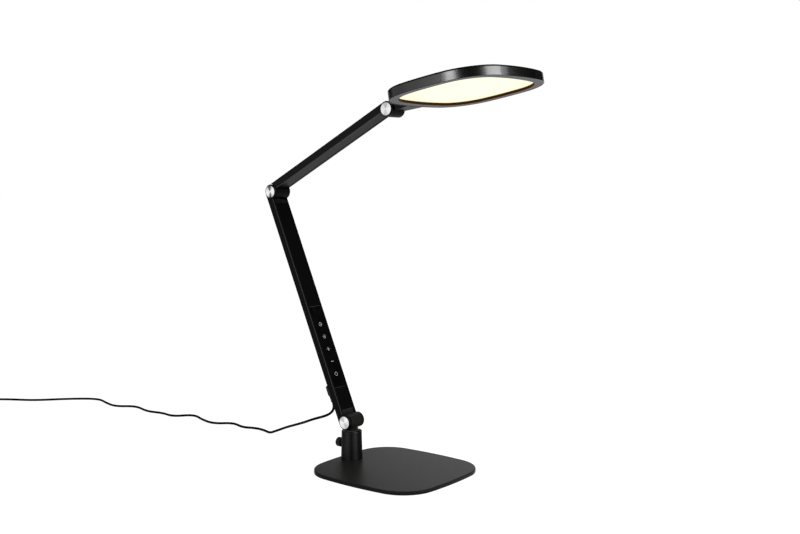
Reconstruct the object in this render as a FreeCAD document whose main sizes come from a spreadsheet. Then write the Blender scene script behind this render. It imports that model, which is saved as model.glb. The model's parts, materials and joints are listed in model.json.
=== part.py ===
"""Desk lamp with two hinged arms and a flat lit head. Millimetres, +Z up.

The origin is the middle of the base's underside. +X is the side that the head reaches over.
"""

import FreeCAD
import Part
import math
import os
import re

import Sketcher
from FreeCAD import Vector

SIZES = {
    # Base plate and the pad under it
    "base_length": 180.4,
    "base_width": 170.4,
    "base_end_bow": 478.0,
    "base_side_bow": 493.0,
    "base_corner": 45.7,
    "base_thickness": 4.6,
    "base_edge": 1.2,
    "pad_thickness": 0.6,
    "pad_inset": 5.0,
    # Post, its screw and its bushes
    "post_offset": 72.5,
    "post_foot_radius": 14.1,
    "post_top_radius": 13.3,
    "post_height": 37.2,
    "post_edge": 1.0,
    "post_floor": 7.8,
    "post_ring_drop": 4.0,
    "post_ring_width": 0.6,
    "post_ring_depth": 0.4,
    "post_screw_radius": 3.0,
    "post_screw_head_radius": 5.5,
    "post_screw_head": 2.6,
    "post_screw_hex": 2.5,
    "post_screw_hex_depth": 1.6,
    "bush_radius": 7.0,
    "upper_bush_height": 11.0,
    "lower_bush_height": 5.0,
    # Thumb screw
    "stud_height": 23.5,
    "stud_radius": 2.5,
    "stud_in_knob": 5.5,
    "knob_radius": 6.2,
    "knob_out": 24.4,
    "knob_in": 16.8,
    "knob_edge": 1.4,
    "knob_boss_radius": 4.0,
    "knob_boss_in": 14.6,
    "flute_radius": 1.1,
    "flute_depth": 0.45,
    "flute_count": 14,
    # Neck
    "pivot_rise": 12.45,
    "stem_radius": 8.4,
    "shaft_radius": 5.0,
    "shaft_groove_depth": 0.7,
    "shaft_groove_width": 7.0,
    "shaft_end_gap": 0.5,
    "swivel_washer": 0.8,
    "swivel_washer_radius": 9.4,
    # Hinges: barrels, friction washers, sleeves, screws and disc caps
    "barrel_radius": 9.8,
    "barrel_clearance": 0.6,
    "washer_thickness": 0.5,
    "washer_radius": 8.6,
    "sleeve_radius": 3.5,
    "sleeve_head_radius": 5.0,
    "sleeve_head": 1.0,
    "pivot_screw_radius": 2.0,
    "pivot_screw_length": 16.0,
    "pivot_screw_hex": 1.5,
    "pivot_screw_hex_depth": 0.6,
    "cap_radius": 8.9,
    "cap_seat_depth": 1.6,
    "cap_proud": 0.6,
    "cap_face": 1.0,
    "cap_cavity_radius": 6.0,
    "cap_edge": 0.4,
    # Arms
    "lower_arm_length": 325.2,
    "lower_arm_width": 28.6,
    "lower_arm_lean": 23.75,
    "upper_arm_length": 225.25,
    "upper_arm_width": 25.9,
    "upper_arm_rise": 27.39,
    "upper_arm_start": 4.4,
    "upper_cover_start": 10.8,
    "arm_wall": 3.0,
    "arm_web": 1.8,
    "arm_edge": 0.8,
    "arm_bevel": 0.6,
    "web_end": 12.6,
    "cover_end": 16.5,
    "cover_thickness": 1.5,
    "cover_recess": 0.4,
    "cover_edge": 0.3,
    "end_piece_low": 4.0,
    "end_piece_slope": 3.6,
    "panel_start": 46.5,
    "panel_end": 159.0,
    "seam": 0.4,
    "board_thickness": 1.2,
    "board_margin": 9.5,
    "chip_height": 1.6,
    "chip_length": 7.0,
    "chip_width": 6.0,
    "chip_pitch": 22.0,
    "chip_count": 4,
    "wire_radius": 0.7,
    "wire_spacing": 1.8,
    # Elbow piece of the upper arm
    "tang_length": 36.0,
    "tang_screw_radius": 1.5,
    "tang_screw_first": 20.0,
    "tang_screw_pitch": 10.0,
    # Low voltage socket and plug at the back of the lower arm
    "plug_height": 47.0,
    "plug_axis": 21.4,
    "plug_back": 24.0,
    "plug_top": 54.6,
    "plug_low": 40.0,
    "plug_width": 7.8,
    "plug_round": 2.4,
    "plug_relief_end": 31.9,
    "plug_relief_radius": 2.8,
    "plug_relief_tip": 2.5,
    "relief_rib_count": 4,
    "relief_rib_depth": 0.3,
    "plug_barrel_radius": 2.75,
    "plug_barrel_bore": 1.3,
    "plug_barrel_length": 6.4,
    "socket_collar": 3.8,
    "socket_width": 10.0,
    "socket_height": 12.0,
    "socket_pin": 1.0,
    # Head
    "head_length": 157.2,
    "head_width": 177.8,
    "head_end_bow": 272.0,
    "head_side_bow": 254.0,
    "head_corner": 54.0,
    "head_reach": 112.4,
    "head_tilt": 10.0,
    "head_drop": 4.06,
    "head_height": 12.2,
    "head_wall": 1.6,
    "head_roof": 2.4,
    "head_edge": 2.0,
    "head_rim": 0.5,
    "bezel_width": 11.6,
    "bezel_thickness": 3.4,
    "bezel_recess": 0.2,
    "bezel_edge": 0.6,
    "diffuser_thickness": 1.5,
    "diffuser_inset": 2.2,
    "guide_thickness": 3.0,
    "guide_inset": 5.4,
    "reflector_thickness": 0.3,
    "spreader_thickness": 1.2,
    "strip_inset": 2.6,
    "strip_thickness": 0.6,
    "diode_length": 3.0,
    "diode_depth": 1.2,
    "diode_height": 2.2,
    "diode_count": 12,
    # Lug of the head and the barrel piece that it holds
    "lug_start": 9.0,
    "lug_narrow": 10.6,
    "lug_wide": 16.6,
    "lug_into_wall": 0.8,
    "lug_height": 9.4,
    "lug_edge": 1.6,
    "lug_tang_width": 13.0,
    "lug_tang_height": 4.4,
    "lug_tang_drop": 1.8,
    "lug_tang_reach": 29.0,
    "lug_pin_radius": 1.2,
    "lug_pin_reach": 22.0,
    "lug_pin_spacing": 7.0,
    # Cord, coil, tie and adapter
    "cord_radius": 1.75,
    "coil_x": -778.0,
    "coil_y": -120.0,
    "coil_heading": 128.3,
    "coil_radius": 24.0,
    "coil_pitch": 4.1,
    "coil_layer": 4.0,
    "coil_lift": 0.8,
    "coil_approach": 32.0,
    "coil_lead": 12.0,
    "coil_half_turns": 12,
    "tie_width": 5.0,
    "tie_thickness": 0.5,
    "tie_heading": 20.0,
    "adapter_length": 52.0,
    "adapter_width": 38.0,
    "adapter_height": 27.0,
    "adapter_round": 6.0,
    "adapter_edge": 2.5,
    "adapter_seam": 0.5,
    "adapter_relief": 18.0,
    "adapter_relief_radius": 4.0,
    "adapter_relief_tip": 2.5,
    "plug_face_length": 8.0,
    "plug_face_width": 35.0,
    "plug_face_height": 14.0,
    "plug_face_round": 6.5,
    "pin_radius": 2.0,
    "pin_length": 19.0,
    "pin_spacing": 18.6,
    "pin_edge": 0.8,
    # Clearances and the overrun of cuts
    "fit_gap": 0.1,
    "running_gap": 0.05,
    "side_gap": 0.1,
    "overrun": 2.0,
}

# The free cord's route in two stretches, as points of its middle: from the plug down to the floor
# behind the base, then over the floor to the coil.
DROP_POINTS = (
    (-104.78, 0.0, 75.06),
    (-103.7, 0.0, 71.6),
    (-103.7, 0.0, 67.4),
    (-106.1, 0.2, 62.7),
    (-112.4, 0.8, 57.7),
    (-123.6, 2.4, 52.75),
    (-145.64, 5.6, 45.26),
    (-168.0, 10.4, 36.3),
    (-192.0, 17.2, 27.8),
    (-216.0, 25.6, 19.5),
    (-236.0, 32.0, 11.6),
    (-248.5, 34.0, 6.7),
)
FLOOR_POINTS = (
    (-248.5, 34.0, 6.7),
    (-261.0, 36.0, 1.8),
    (-281.0, 43.4, 1.75),
    (-300.0, 43.6, 1.75),
    (-318.0, 35.0, 1.75),
    (-348.0, 46.0, 1.75),
    (-368.0, 24.0, 1.75),
    (-400.0, 30.0, 1.75),
    (-436.0, 45.0, 1.75),
    (-453.0, 16.0, 1.75),
    (-484.0, 22.0, 1.75),
    (-512.0, 13.0, 1.75),
    (-556.0, 27.0, 1.75),
    (-580.0, 4.0, 1.75),
    (-613.0, 10.5, 1.75),
    (-650.0, 23.0, 1.75),
    (-690.0, -10.0, 1.75),
    (-722.0, -52.0, 1.95),
)

doc = FreeCAD.newDocument("desk_lamp")
sheet = doc.addObject("Spreadsheet::Sheet", "sizes")
for row, (word, value) in enumerate(SIZES.items(), 1):
    sheet.set(f"A{row}", word)
    sheet.set(f"B{row}", str(value))
    sheet.setAlias(f"B{row}", word)
doc.recompute()

NODES = []


def bind(formula):
    """A formula in the sheet's words, as an expression that follows the sheet."""
    return re.sub(r"[a-z_]+", lambda m: f"sizes.{m[0]}" if m[0] in SIZES else m[0], formula)


def number(formula):
    """What a formula in the sheet's words comes to now."""
    return float(sheet.evalExpression(bind(formula)))


def frame(x, z, turn, y="0", axis="0; 1; 0"):
    """A place as an expression: a point, and a turn in degrees about an axis through it."""
    point = f"create(<<vector>>; {bind(x)}; {bind(y)}; {bind(z)})"
    turning = f"create(<<rotation>>; create(<<vector>>; {axis}); {bind(turn)})"
    return f"create(<<placement>>; {point}; {turning})"


# Heights and places along the chain of hinges
PLATE_TOP = "(pad_thickness + base_thickness)"
POST_TOP = f"({PLATE_TOP} + post_height)"
PIVOT_Z = f"({POST_TOP} + pivot_rise)"
ELBOW_X = "(-post_offset - lower_arm_length * sin(lower_arm_lean))"
ELBOW_Z = f"({PIVOT_Z} + lower_arm_length * cos(lower_arm_lean))"
TIP_X = f"({ELBOW_X} + upper_arm_length * cos(upper_arm_rise))"
TIP_Z = f"({ELBOW_Z} + upper_arm_length * sin(upper_arm_rise))"
HEAD_X = f"({TIP_X} + head_reach * cos(head_tilt))"
HEAD_Z = f"({TIP_Z} + head_reach * sin(head_tilt))"
PLUG_X = "(-post_offset - plug_height * sin(lower_arm_lean))"
PLUG_Z = f"({PIVOT_Z} + plug_height * cos(lower_arm_lean))"

BASE = frame("0", "0", "0")
POST = frame("-post_offset", "0", "0")
STUD = frame("-post_offset", "stud_height", "0")
NECK = frame("-post_offset", PIVOT_Z, "0")
LOWER = frame("-post_offset", PIVOT_Z, "-lower_arm_lean")
PLUG = frame(PLUG_X, PLUG_Z, "-lower_arm_lean")
ELBOW_OF_LOWER = frame(ELBOW_X, ELBOW_Z, "-lower_arm_lean")
UPPER = frame(ELBOW_X, ELBOW_Z, "90 - upper_arm_rise")
TIP_OF_UPPER = frame(TIP_X, TIP_Z, "90 - upper_arm_rise")
HEAD_HINGE = frame(TIP_X, TIP_Z, "-head_tilt")
HEAD = frame(HEAD_X, HEAD_Z, "-head_tilt")

# Half widths between the arms' walls, and half lengths of the barrels between them
LOWER_INNER = "(lower_arm_width / 2 - arm_wall)"
UPPER_INNER = "(upper_arm_width / 2 - arm_wall)"
LOWER_BARREL = f"({LOWER_INNER} - side_gap - washer_thickness)"
UPPER_BARREL = f"({UPPER_INNER} - side_gap - washer_thickness)"
WEB_INSIDE = "(-barrel_radius + arm_web)"
COVER_BACK = "(-cover_recess - cover_thickness)"


def body(label, where, node=True):
    made = doc.addObject("PartDesign::Body", label)
    made.Label = label
    made.setExpression("Placement", where)
    if node:
        NODES.append(made)
    return made


def origin_feature(owner, role):
    return next(o for o in owner.Origin.OriginFeatures if o.Role == role)


def sketch(owner, plane, away="0", across="0"):
    """A sketch on one of the body's planes, moved off it by away and along its own X by across."""
    made = owner.newObject("Sketcher::SketchObject", f"{owner.Name}_sketch")
    made.AttachmentSupport = (origin_feature(owner, plane), [""])
    made.MapMode = "FlatFace"
    made.setExpression("AttachmentOffset.Base.z", bind(away))
    made.setExpression("AttachmentOffset.Base.x", bind(across))
    return made


def hold(outline, kind, places, formula):
    """A constraint whose value follows a formula."""
    index = outline.addConstraint(Sketcher.Constraint(kind, *places, number(formula)))
    outline.setExpression(f"Constraints[{index}]", bind(formula))


def hold_point(outline, edge, end, x, y):
    hold(outline, "DistanceX", (-1, 1, edge, end), x)
    hold(outline, "DistanceY", (-1, 1, edge, end), y)


def polygon(outline, points):
    first = outline.GeometryCount
    count = len(points)
    corners = [Vector(number(x), number(y), 0) for x, y in points]
    for i in range(count):
        outline.addGeometry(Part.LineSegment(corners[i], corners[(i + 1) % count]))
    for i in range(count):
        after = first + (i + 1) % count
        outline.addConstraint(Sketcher.Constraint("Coincident", first + i, 2, after, 1))
    for i, (x, y) in enumerate(points):
        hold_point(outline, first + i, 1, x, y)


def rectangle(outline, x0, y0, x1, y1):
    polygon(outline, ((x0, y0), (x1, y0), (x1, y1), (x0, y1)))


def circle(outline, x, y, radius):
    middle = Vector(number(x), number(y), 0)
    edge = outline.addGeometry(Part.Circle(middle, Vector(0, 0, 1), number(radius)))
    hold_point(outline, edge, 3, x, y)
    hold(outline, "Radius", (edge,), radius)


def hexagon(outline, x, y, radius):
    corners = [(f"{x} + {radius} * cos({turn})", f"{y} + {radius} * sin({turn})")
               for turn in range(0, 360, 60)]
    polygon(outline, corners)


def bowed_corner(half_x, half_y, bow_x, bow_y, corner):
    """The centre of the corner arc that touches two bowed sides from inside."""
    end = Vector(half_x - bow_x, 0, 0)
    side = Vector(0, half_y - bow_y, 0)
    apart = side - end
    to_end = bow_x - corner
    to_side = bow_y - corner
    along = (to_end**2 - to_side**2 + apart.Length**2) / (2 * apart.Length)
    away = math.sqrt(to_end**2 - along**2)
    unit = apart / apart.Length
    return end + unit * along + Vector(-unit.y, unit.x, 0) * away


def bowed_outline(outline, of, inset="0"):
    """A rounded rectangle with bowed sides: eight arcs, each tangent to the next."""
    half_x = f"({of}_length / 2 - ({inset}))"
    half_y = f"({of}_width / 2 - ({inset}))"
    bow_x = f"({of}_end_bow - ({inset}))"
    bow_y = f"({of}_side_bow - ({inset}))"
    corner = f"({of}_corner - ({inset}))"
    sizes = [number(s) for s in (half_x, half_y, bow_x, bow_y, corner)]
    middle = bowed_corner(*sizes)
    end_middle = Vector(sizes[0] - sizes[2], 0, 0)
    side_middle = Vector(0, sizes[1] - sizes[3], 0)
    end_half = math.atan2(middle.y, middle.x - end_middle.x)
    side_half = math.atan2(middle.x, middle.y - side_middle.y)
    first = outline.GeometryCount
    quarter = math.pi / 2
    turns = []
    for i in range(4):
        half = end_half if i % 2 == 0 else side_half
        next_half = side_half if i % 2 == 0 else end_half
        turns.append((i * quarter - half, i * quarter + half))
        turns.append((i * quarter + half, (i + 1) * quarter - next_half))
    signs = ((1, 1), (-1, 1), (-1, -1), (1, -1))
    middles = []
    for i, (x, y) in enumerate(signs):
        side = (end_middle, side_middle, -end_middle, -side_middle)[i]
        middles += [side, Vector(x * middle.x, y * middle.y, 0)]
    radii = [sizes[2], sizes[4], sizes[3], sizes[4]] * 2
    names = [bow_x, corner, bow_y, corner] * 2
    for place, radius, (begin, stop) in zip(middles, radii, turns):
        round_edge = Part.Circle(place, Vector(0, 0, 1), radius)
        outline.addGeometry(Part.ArcOfCircle(round_edge, begin, stop))
    for i in range(8):
        after = first + (i + 1) % 8
        outline.addConstraint(Sketcher.Constraint("Tangent", first + i, 2, after, 1))
    centres = ((f"{half_x} - {bow_x}", "0"), ("0", f"{half_y} - {bow_y}"),
               (f"{bow_x} - {half_x}", "0"), ("0", f"{bow_y} - {half_y}"))
    for i, (x, y) in enumerate(centres):
        hold_point(outline, first + 2 * i, 3, x, y)
    for i, radius in enumerate(names):
        hold(outline, "Radius", (first + i,), radius)


def pad(owner, outline, length, both=False, back=False):
    made = owner.newObject("PartDesign::Pad", f"{owner.Name}_pad")
    made.Profile = outline
    made.setExpression("Length", bind(length))
    made.Midplane = both
    made.Reversed = back
    return made


def pocket(owner, outline, depth, both=False, back=False):
    """A cut against the sketch's normal, or along it with back, or half each way with both."""
    doc.recompute()
    before = owner.Shape.Volume
    made = owner.newObject("PartDesign::Pocket", f"{owner.Name}_pocket")
    made.Profile = outline
    made.setExpression("Length", bind(depth))
    made.Midplane = both
    made.Reversed = back
    doc.recompute()
    if owner.Shape.Volume >= before:
        raise ValueError(f"a cut in {owner.Label} takes nothing away")
    return made


def revolve(owner, outline, axis):
    made = owner.newObject("PartDesign::Revolution", f"{owner.Name}_turned")
    made.Profile = outline
    made.ReferenceAxis = (outline, [axis])
    made.Angle = 360
    return made


def turned(label, where, axis, profiles, node=True):
    """A turned piece: profiles of (radius, height) points about Z, Y or X."""
    owner = body(label, where, node)
    outline = sketch(owner, "XZ_Plane" if axis == "Z" else "XY_Plane")
    for points in profiles:
        polygon(outline, [(y, x) for x, y in points] if axis == "X" else points)
    revolve(owner, outline, "H_Axis" if axis == "X" else "V_Axis")
    return owner


def dress(owner, kind, size, pick):
    """Rounds or chamfers the edges of the piece that pick chooses."""
    doc.recompute()
    tip = owner.Tip
    chosen = [f"Edge{i}" for i, edge in enumerate(tip.Shape.Edges, 1) if pick(edge)]
    if not chosen:
        raise ValueError(f"{owner.Label} has no edge to dress")
    made = owner.newObject(f"PartDesign::{kind}", f"{owner.Name}_{kind.lower()}")
    made.Base = (tip, chosen)
    made.setExpression("Radius" if kind == "Fillet" else "Size", bind(size))
    return made


def near(value, formula):
    tolerance_share = 1e-4
    aim = number(formula)
    return abs(value - aim) < tolerance_share * (1 + abs(aim))


def level_with(formula):
    """Chooses edges that lie flat at a height of the piece's own Z."""
    return lambda edge: near(edge.BoundBox.ZMin, formula) and near(edge.BoundBox.ZMax, formula)


def ring_points(inner, outer, low, high):
    return ((inner, low), (outer, low), (outer, high), (inner, high))


def box_of(edge, along):
    bounds = edge.BoundBox
    return {"x": bounds.XLength, "y": bounds.YLength, "z": bounds.ZLength}[along]


def base_plate():
    owner = body("base_plate", BASE)
    outline = sketch(owner, "XY_Plane", "pad_thickness")
    bowed_outline(outline, "base")
    pad(owner, outline, "base_thickness")
    is_top = level_with(PLATE_TOP)
    dress(owner, "Fillet", "base_edge", is_top)
    hole = sketch(owner, "XY_Plane", "pad_thickness")
    circle(hole, "-post_offset", "0", "post_screw_radius + fit_gap")
    pocket(owner, hole, "base_thickness + overrun", back=True)
    seat = sketch(owner, "XY_Plane", "pad_thickness")
    circle(seat, "-post_offset", "0", "post_screw_head_radius + fit_gap")
    pocket(owner, seat, "post_screw_head + fit_gap", back=True)


def base_pad():
    owner = body("base_pad", BASE)
    outline = sketch(owner, "XY_Plane")
    bowed_outline(outline, "base", "pad_inset")
    pad(owner, outline, "pad_thickness")


def post():
    ring_low = f"{POST_TOP} - post_ring_drop - post_ring_width"
    ring_top = f"{POST_TOP} - post_ring_drop"
    groove = "post_top_radius - post_ring_depth"
    floor = f"{PLATE_TOP} + post_floor"
    outside = (("post_foot_radius", PLATE_TOP), ("post_top_radius", ring_low), (groove, ring_low),
               (groove, ring_top), ("post_top_radius", ring_top), ("post_top_radius", POST_TOP))
    inside = (("bush_radius", POST_TOP), ("bush_radius", floor),
              ("post_screw_radius", floor), ("post_screw_radius", PLATE_TOP))
    owner = turned("post", POST, "Z", [outside + inside])
    top = level_with(POST_TOP)
    dress(owner, "Fillet", "post_edge",
          lambda edge: top(edge) and near(edge.Curve.Radius, "post_top_radius"))
    hole = sketch(owner, "YZ_Plane")
    circle(hole, "0", "stud_height", "stud_radius + running_gap")
    pocket(owner, hole, "post_foot_radius + overrun")


def post_screw():
    low = "pad_thickness"
    under_head = f"({low} + post_screw_head)"
    top = f"{PLATE_TOP} + post_floor"
    points = (("0", low), ("post_screw_head_radius", low), ("post_screw_head_radius", under_head),
              ("post_screw_radius", under_head), ("post_screw_radius", top), ("0", top))
    owner = turned("post_screw", POST, "Z", [points])
    socket = sketch(owner, "XY_Plane", low)
    hexagon(socket, "0", "0", "post_screw_hex")
    pocket(owner, socket, "post_screw_hex_depth", back=True)


def swivel_bushes():
    floor = f"({PLATE_TOP} + post_floor)"
    inner = "shaft_radius + running_gap"
    turned("swivel_bushes", POST, "Z", [
        ring_points(inner, "bush_radius", floor, f"{floor} + lower_bush_height"),
        ring_points(inner, "bush_radius", f"{POST_TOP} - upper_bush_height", POST_TOP)])


def thumb_knob():
    bore_end = "-knob_boss_in - stud_in_knob"
    points = (("stud_radius", "-knob_boss_in"), ("knob_boss_radius", "-knob_boss_in"),
              ("knob_boss_radius", "-knob_in"), ("knob_radius", "-knob_in"),
              ("knob_radius", "-knob_out + knob_edge"), ("knob_radius - knob_edge", "-knob_out"),
              ("0", "-knob_out"), ("0", bore_end), ("stud_radius", bore_end))
    owner = turned("thumb_knob", STUD, "X", [points])
    flute = sketch(owner, "YZ_Plane", "-knob_in + overrun")
    circle(flute, "knob_radius + flute_radius - flute_depth", "0", "flute_radius")
    cut = pocket(owner, flute, "knob_out - knob_in + overrun * 2")
    flutes = owner.newObject("PartDesign::PolarPattern", "thumb_knob_flutes")
    flutes.Originals = [cut]
    flutes.Axis = (origin_feature(owner, "X_Axis"), [""])
    flutes.Angle = 360
    flutes.setExpression("Occurrences", bind("flute_count"))
    owner.Tip = flutes


def thumb_stud():
    tip = "-shaft_radius + shaft_groove_depth - side_gap"
    end = "-knob_boss_in - stud_in_knob"
    turned("thumb_stud", STUD, "X", [
        (("0", tip), ("stud_radius", tip), ("stud_radius", end), ("0", end))])


def neck():
    shoulder = "(-pivot_rise + swivel_washer)"
    groove_top = f"(stud_height - {PIVOT_Z} + shaft_groove_width / 2)"
    groove = "shaft_radius - shaft_groove_depth"
    end = f"({PLATE_TOP} + post_floor + shaft_end_gap - {PIVOT_Z})"
    points = (("0", "0"), ("stem_radius", "0"), ("stem_radius", shoulder), ("shaft_radius", shoulder),
              ("shaft_radius", groove_top), (groove, groove_top),
              (groove, f"{groove_top} - shaft_groove_width"),
              ("shaft_radius", f"{groove_top} - shaft_groove_width"), ("shaft_radius", end), ("0", end))
    owner = turned("neck", NECK, "Z", [points])
    barrel(owner, LOWER_BARREL)


def barrel(owner, half):
    """Adds a hinge barrel about the piece's own Y axis, bored for its sleeve."""
    outside = sketch(owner, "XZ_Plane")
    circle(outside, "0", "0", "barrel_radius")
    pad(owner, outside, f"2 * {half}", both=True)
    bore = sketch(owner, "XZ_Plane")
    circle(bore, "0", "0", "sleeve_radius + running_gap")
    pocket(owner, bore, f"2 * {half} + overrun", both=True)


def swivel_washer():
    turned("swivel_washer", POST, "Z", [
        ring_points("shaft_radius + running_gap", "swivel_washer_radius",
                    f"{POST_TOP} + side_gap", f"{POST_TOP} + swivel_washer")])


def hinge(name, where, width, half, washers_where):
    """Friction washers, sleeve, screw and disc caps of one hinge."""
    seat = f"({width} / 2 - cap_seat_depth)"
    face = f"({width} / 2 + cap_proud)"
    inner = "sleeve_radius + running_gap"
    far = f"{half} + washer_thickness"
    turned(f"{name}_washers", washers_where, "Y", [
        ring_points(inner, "washer_radius", half, far),
        ring_points(inner, "washer_radius", f"-({far})", f"-{half}")])
    head = f"{seat} + sleeve_head"
    bore = "pivot_screw_radius + running_gap"
    turned(f"{name}_sleeve", where, "Y", [
        ((bore, f"-{seat}"), ("sleeve_radius", f"-{seat}"), ("sleeve_radius", seat),
         ("sleeve_head_radius", seat), ("sleeve_head_radius", head), (bore, head))])
    under = f"-{seat}"
    top = f"-{seat} - sleeve_head"
    screw = turned(f"{name}_screw", where, "Y", [
        (("0", top), ("sleeve_head_radius", top), ("sleeve_head_radius", under),
         ("pivot_screw_radius", under), ("pivot_screw_radius", f"{under} + pivot_screw_length"),
         ("0", f"{under} + pivot_screw_length"))])
    key = sketch(screw, "XZ_Plane", f"{seat} + sleeve_head")
    hexagon(key, "0", "0", "pivot_screw_hex")
    pocket(screw, key, "pivot_screw_hex_depth")
    caps = []
    for side in ("-", ""):
        inside = f"{side}({face} - cap_face)"
        points = (("cap_cavity_radius", f"{side}{seat}"), ("cap_radius", f"{side}{seat}"),
                  ("cap_radius", f"{side}({face} - cap_edge)"),
                  ("cap_radius - cap_edge", f"{side}{face}"), ("0", f"{side}{face}"),
                  ("0", inside), ("cap_cavity_radius", inside))
        caps.append(points)
    turned(f"{name}_caps", where, "Y", caps)


def arm_ends(owner, width, starts):
    """Round ends at the given places along an arm."""
    ears = sketch(owner, "XZ_Plane")
    for start in starts:
        circle(ears, "0", start, "barrel_radius")
    pad(owner, ears, width, both=True)


def arm_holes(owner, width, starts):
    """Seats for the disc caps and bores for the sleeves."""
    for side, back in (("1", False), ("-1", True)):
        seats = sketch(owner, "XZ_Plane", f"{side} * {width} / 2")
        for start in starts:
            circle(seats, "0", start, "cap_radius + running_gap")
        pocket(owner, seats, "cap_seat_depth", back=back)
    bores = sketch(owner, "XZ_Plane")
    for start in starts:
        circle(bores, "0", start, "sleeve_radius + running_gap")
    pocket(owner, bores, f"{width} + overrun", both=True)


def arm_strip(owner, width, low, high):
    strip = sketch(owner, "XZ_Plane")
    rectangle(strip, "-barrel_radius", low, "0", high)
    pad(owner, strip, width, both=True)


def bevel_front(owner, width, low, high):
    """Bevels the two long front edges of an arm."""
    edges = sketch(owner, "XY_Plane", low)
    for side in ("1", "-1"):
        outer = f"{side} * ({width} / 2 + overrun)"
        inner = f"{side} * ({width} / 2 - arm_bevel - overrun)"
        polygon(edges, (("-arm_bevel - overrun", outer), ("overrun", outer), ("overrun", inner)))
    pocket(owner, edges, f"({high}) - ({low})", back=True)


def round_back(owner, width, length):
    """Rounds the two long edges of an arm's back."""
    half_share = 0.5
    dress(owner, "Fillet", "arm_edge",
          lambda edge: box_of(edge, "z") > half_share * number(length)
          and near(edge.BoundBox.XMin, "-barrel_radius") and near(edge.BoundBox.XMax, "-barrel_radius")
          and near(abs(edge.BoundBox.YMin), f"{width} / 2"))


def lower_arm_channel():
    owner = body("lower_arm_channel", LOWER)
    width = "lower_arm_width"
    ends = ("0", "lower_arm_length")
    arm_strip(owner, width, *ends)
    arm_ends(owner, width, ends)
    out = "(barrel_radius + overrun)"
    inside = sketch(owner, "XZ_Plane")
    polygon(inside, (
        (f"-{out}", f"-{out}"), (out, f"-{out}"), (out, f"lower_arm_length + {out}"),
        (f"-{out}", f"lower_arm_length + {out}"), (f"-{out}", "lower_arm_length - web_end"),
        (WEB_INSIDE, "lower_arm_length - web_end"), (WEB_INSIDE, "web_end"), (f"-{out}", "web_end")))
    pocket(owner, inside, f"2 * {LOWER_INNER}", both=True)
    arm_holes(owner, width, ends)
    socket = sketch(owner, "YZ_Plane")
    circle(socket, "0", "plug_height", "socket_collar + fit_gap")
    pocket(owner, socket, "barrel_radius + overrun")
    bevel_front(owner, width, "barrel_radius + arm_bevel", "lower_arm_length - barrel_radius - arm_bevel")
    round_back(owner, width, "lower_arm_length")


def upper_arm_channel():
    owner = body("upper_arm_channel", UPPER)
    width = "upper_arm_width"
    arm_strip(owner, width, "upper_arm_start", "upper_arm_length")
    arm_ends(owner, width, ("upper_arm_length",))
    out = "(barrel_radius + overrun)"
    inside = sketch(owner, "XZ_Plane")
    polygon(inside, (
        (WEB_INSIDE, "upper_arm_start - overrun"), (out, "upper_arm_start - overrun"),
        (out, f"upper_arm_length + {out}"), (f"-{out}", f"upper_arm_length + {out}"),
        (f"-{out}", "upper_arm_length - web_end"), (WEB_INSIDE, "upper_arm_length - web_end")))
    pocket(owner, inside, f"2 * {UPPER_INNER}", both=True)
    scoop = sketch(owner, "XZ_Plane")
    circle(scoop, "0", "0", "barrel_radius + barrel_clearance")
    pocket(owner, scoop, f"{width} + overrun", both=True)
    arm_holes(owner, width, ("upper_arm_length",))
    bevel_front(owner, width, "upper_arm_start - overrun", "upper_arm_length - barrel_radius - arm_bevel")
    round_back(owner, width, "upper_arm_length")


def cover(label, where, inner, low, high):
    """A flat front piece let in between an arm's walls."""
    owner = body(label, where)
    outline = sketch(owner, "XZ_Plane")
    rectangle(outline, COVER_BACK, low, "-cover_recess", high)
    pad(owner, outline, f"2 * ({inner} - fit_gap)", both=True)
    dress(owner, "Fillet", "cover_edge",
          lambda edge: near(edge.BoundBox.XMin, "-cover_recess")
          and near(edge.BoundBox.XMax, "-cover_recess"))


def end_piece(label, where, inner, side):
    """Fills an arm's end between its covers and the barrel, hollowed to clear the barrel."""
    owner = body(label, where)
    outline = sketch(owner, "XZ_Plane")
    polygon(outline, [(x, f"{side}({y})") for x, y in (
        ("-barrel_radius", "end_piece_low"), ("-barrel_radius", "web_end - fit_gap"),
        (f"{WEB_INSIDE} + fit_gap", "web_end - fit_gap"),
        (f"{WEB_INSIDE} + fit_gap", "cover_end - fit_gap"), ("-cover_recess", "cover_end - fit_gap"),
        ("-cover_recess - end_piece_slope", "end_piece_low"))])
    pad(owner, outline, f"2 * ({inner} - fit_gap)", both=True)
    hollow = sketch(owner, "XZ_Plane")
    circle(hollow, "0", "0", "barrel_radius + barrel_clearance")
    pocket(owner, hollow, f"2 * {inner}", both=True)


def touch_board():
    low = "(panel_start + board_margin)"
    back = f"({COVER_BACK} - board_thickness)"
    owner = body("touch_board", LOWER)
    outline = sketch(owner, "XZ_Plane")
    rectangle(outline, back, low, COVER_BACK, "panel_end - fit_gap")
    pad(owner, outline, f"2 * ({LOWER_INNER} - fit_gap)", both=True)
    chips = body("touch_chips", LOWER)
    outline = sketch(chips, "XZ_Plane")
    for i in range(int(number("chip_count"))):
        start = f"({low} + chip_length + chip_pitch * {i})"
        rectangle(outline, f"{back} - chip_height", start, back, f"{start} + chip_length")
    pad(chips, outline, "chip_width", both=True)


def wires(label, where, low, high):
    """A pair of wires that lie on an arm's web."""
    owner = body(label, where)
    outline = sketch(owner, "XY_Plane", low)
    for side in ("-", ""):
        circle(outline, f"{WEB_INSIDE} + wire_radius", f"{side}wire_spacing / 2", "wire_radius")
    pad(owner, outline, f"{high} - ({low})")


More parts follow.
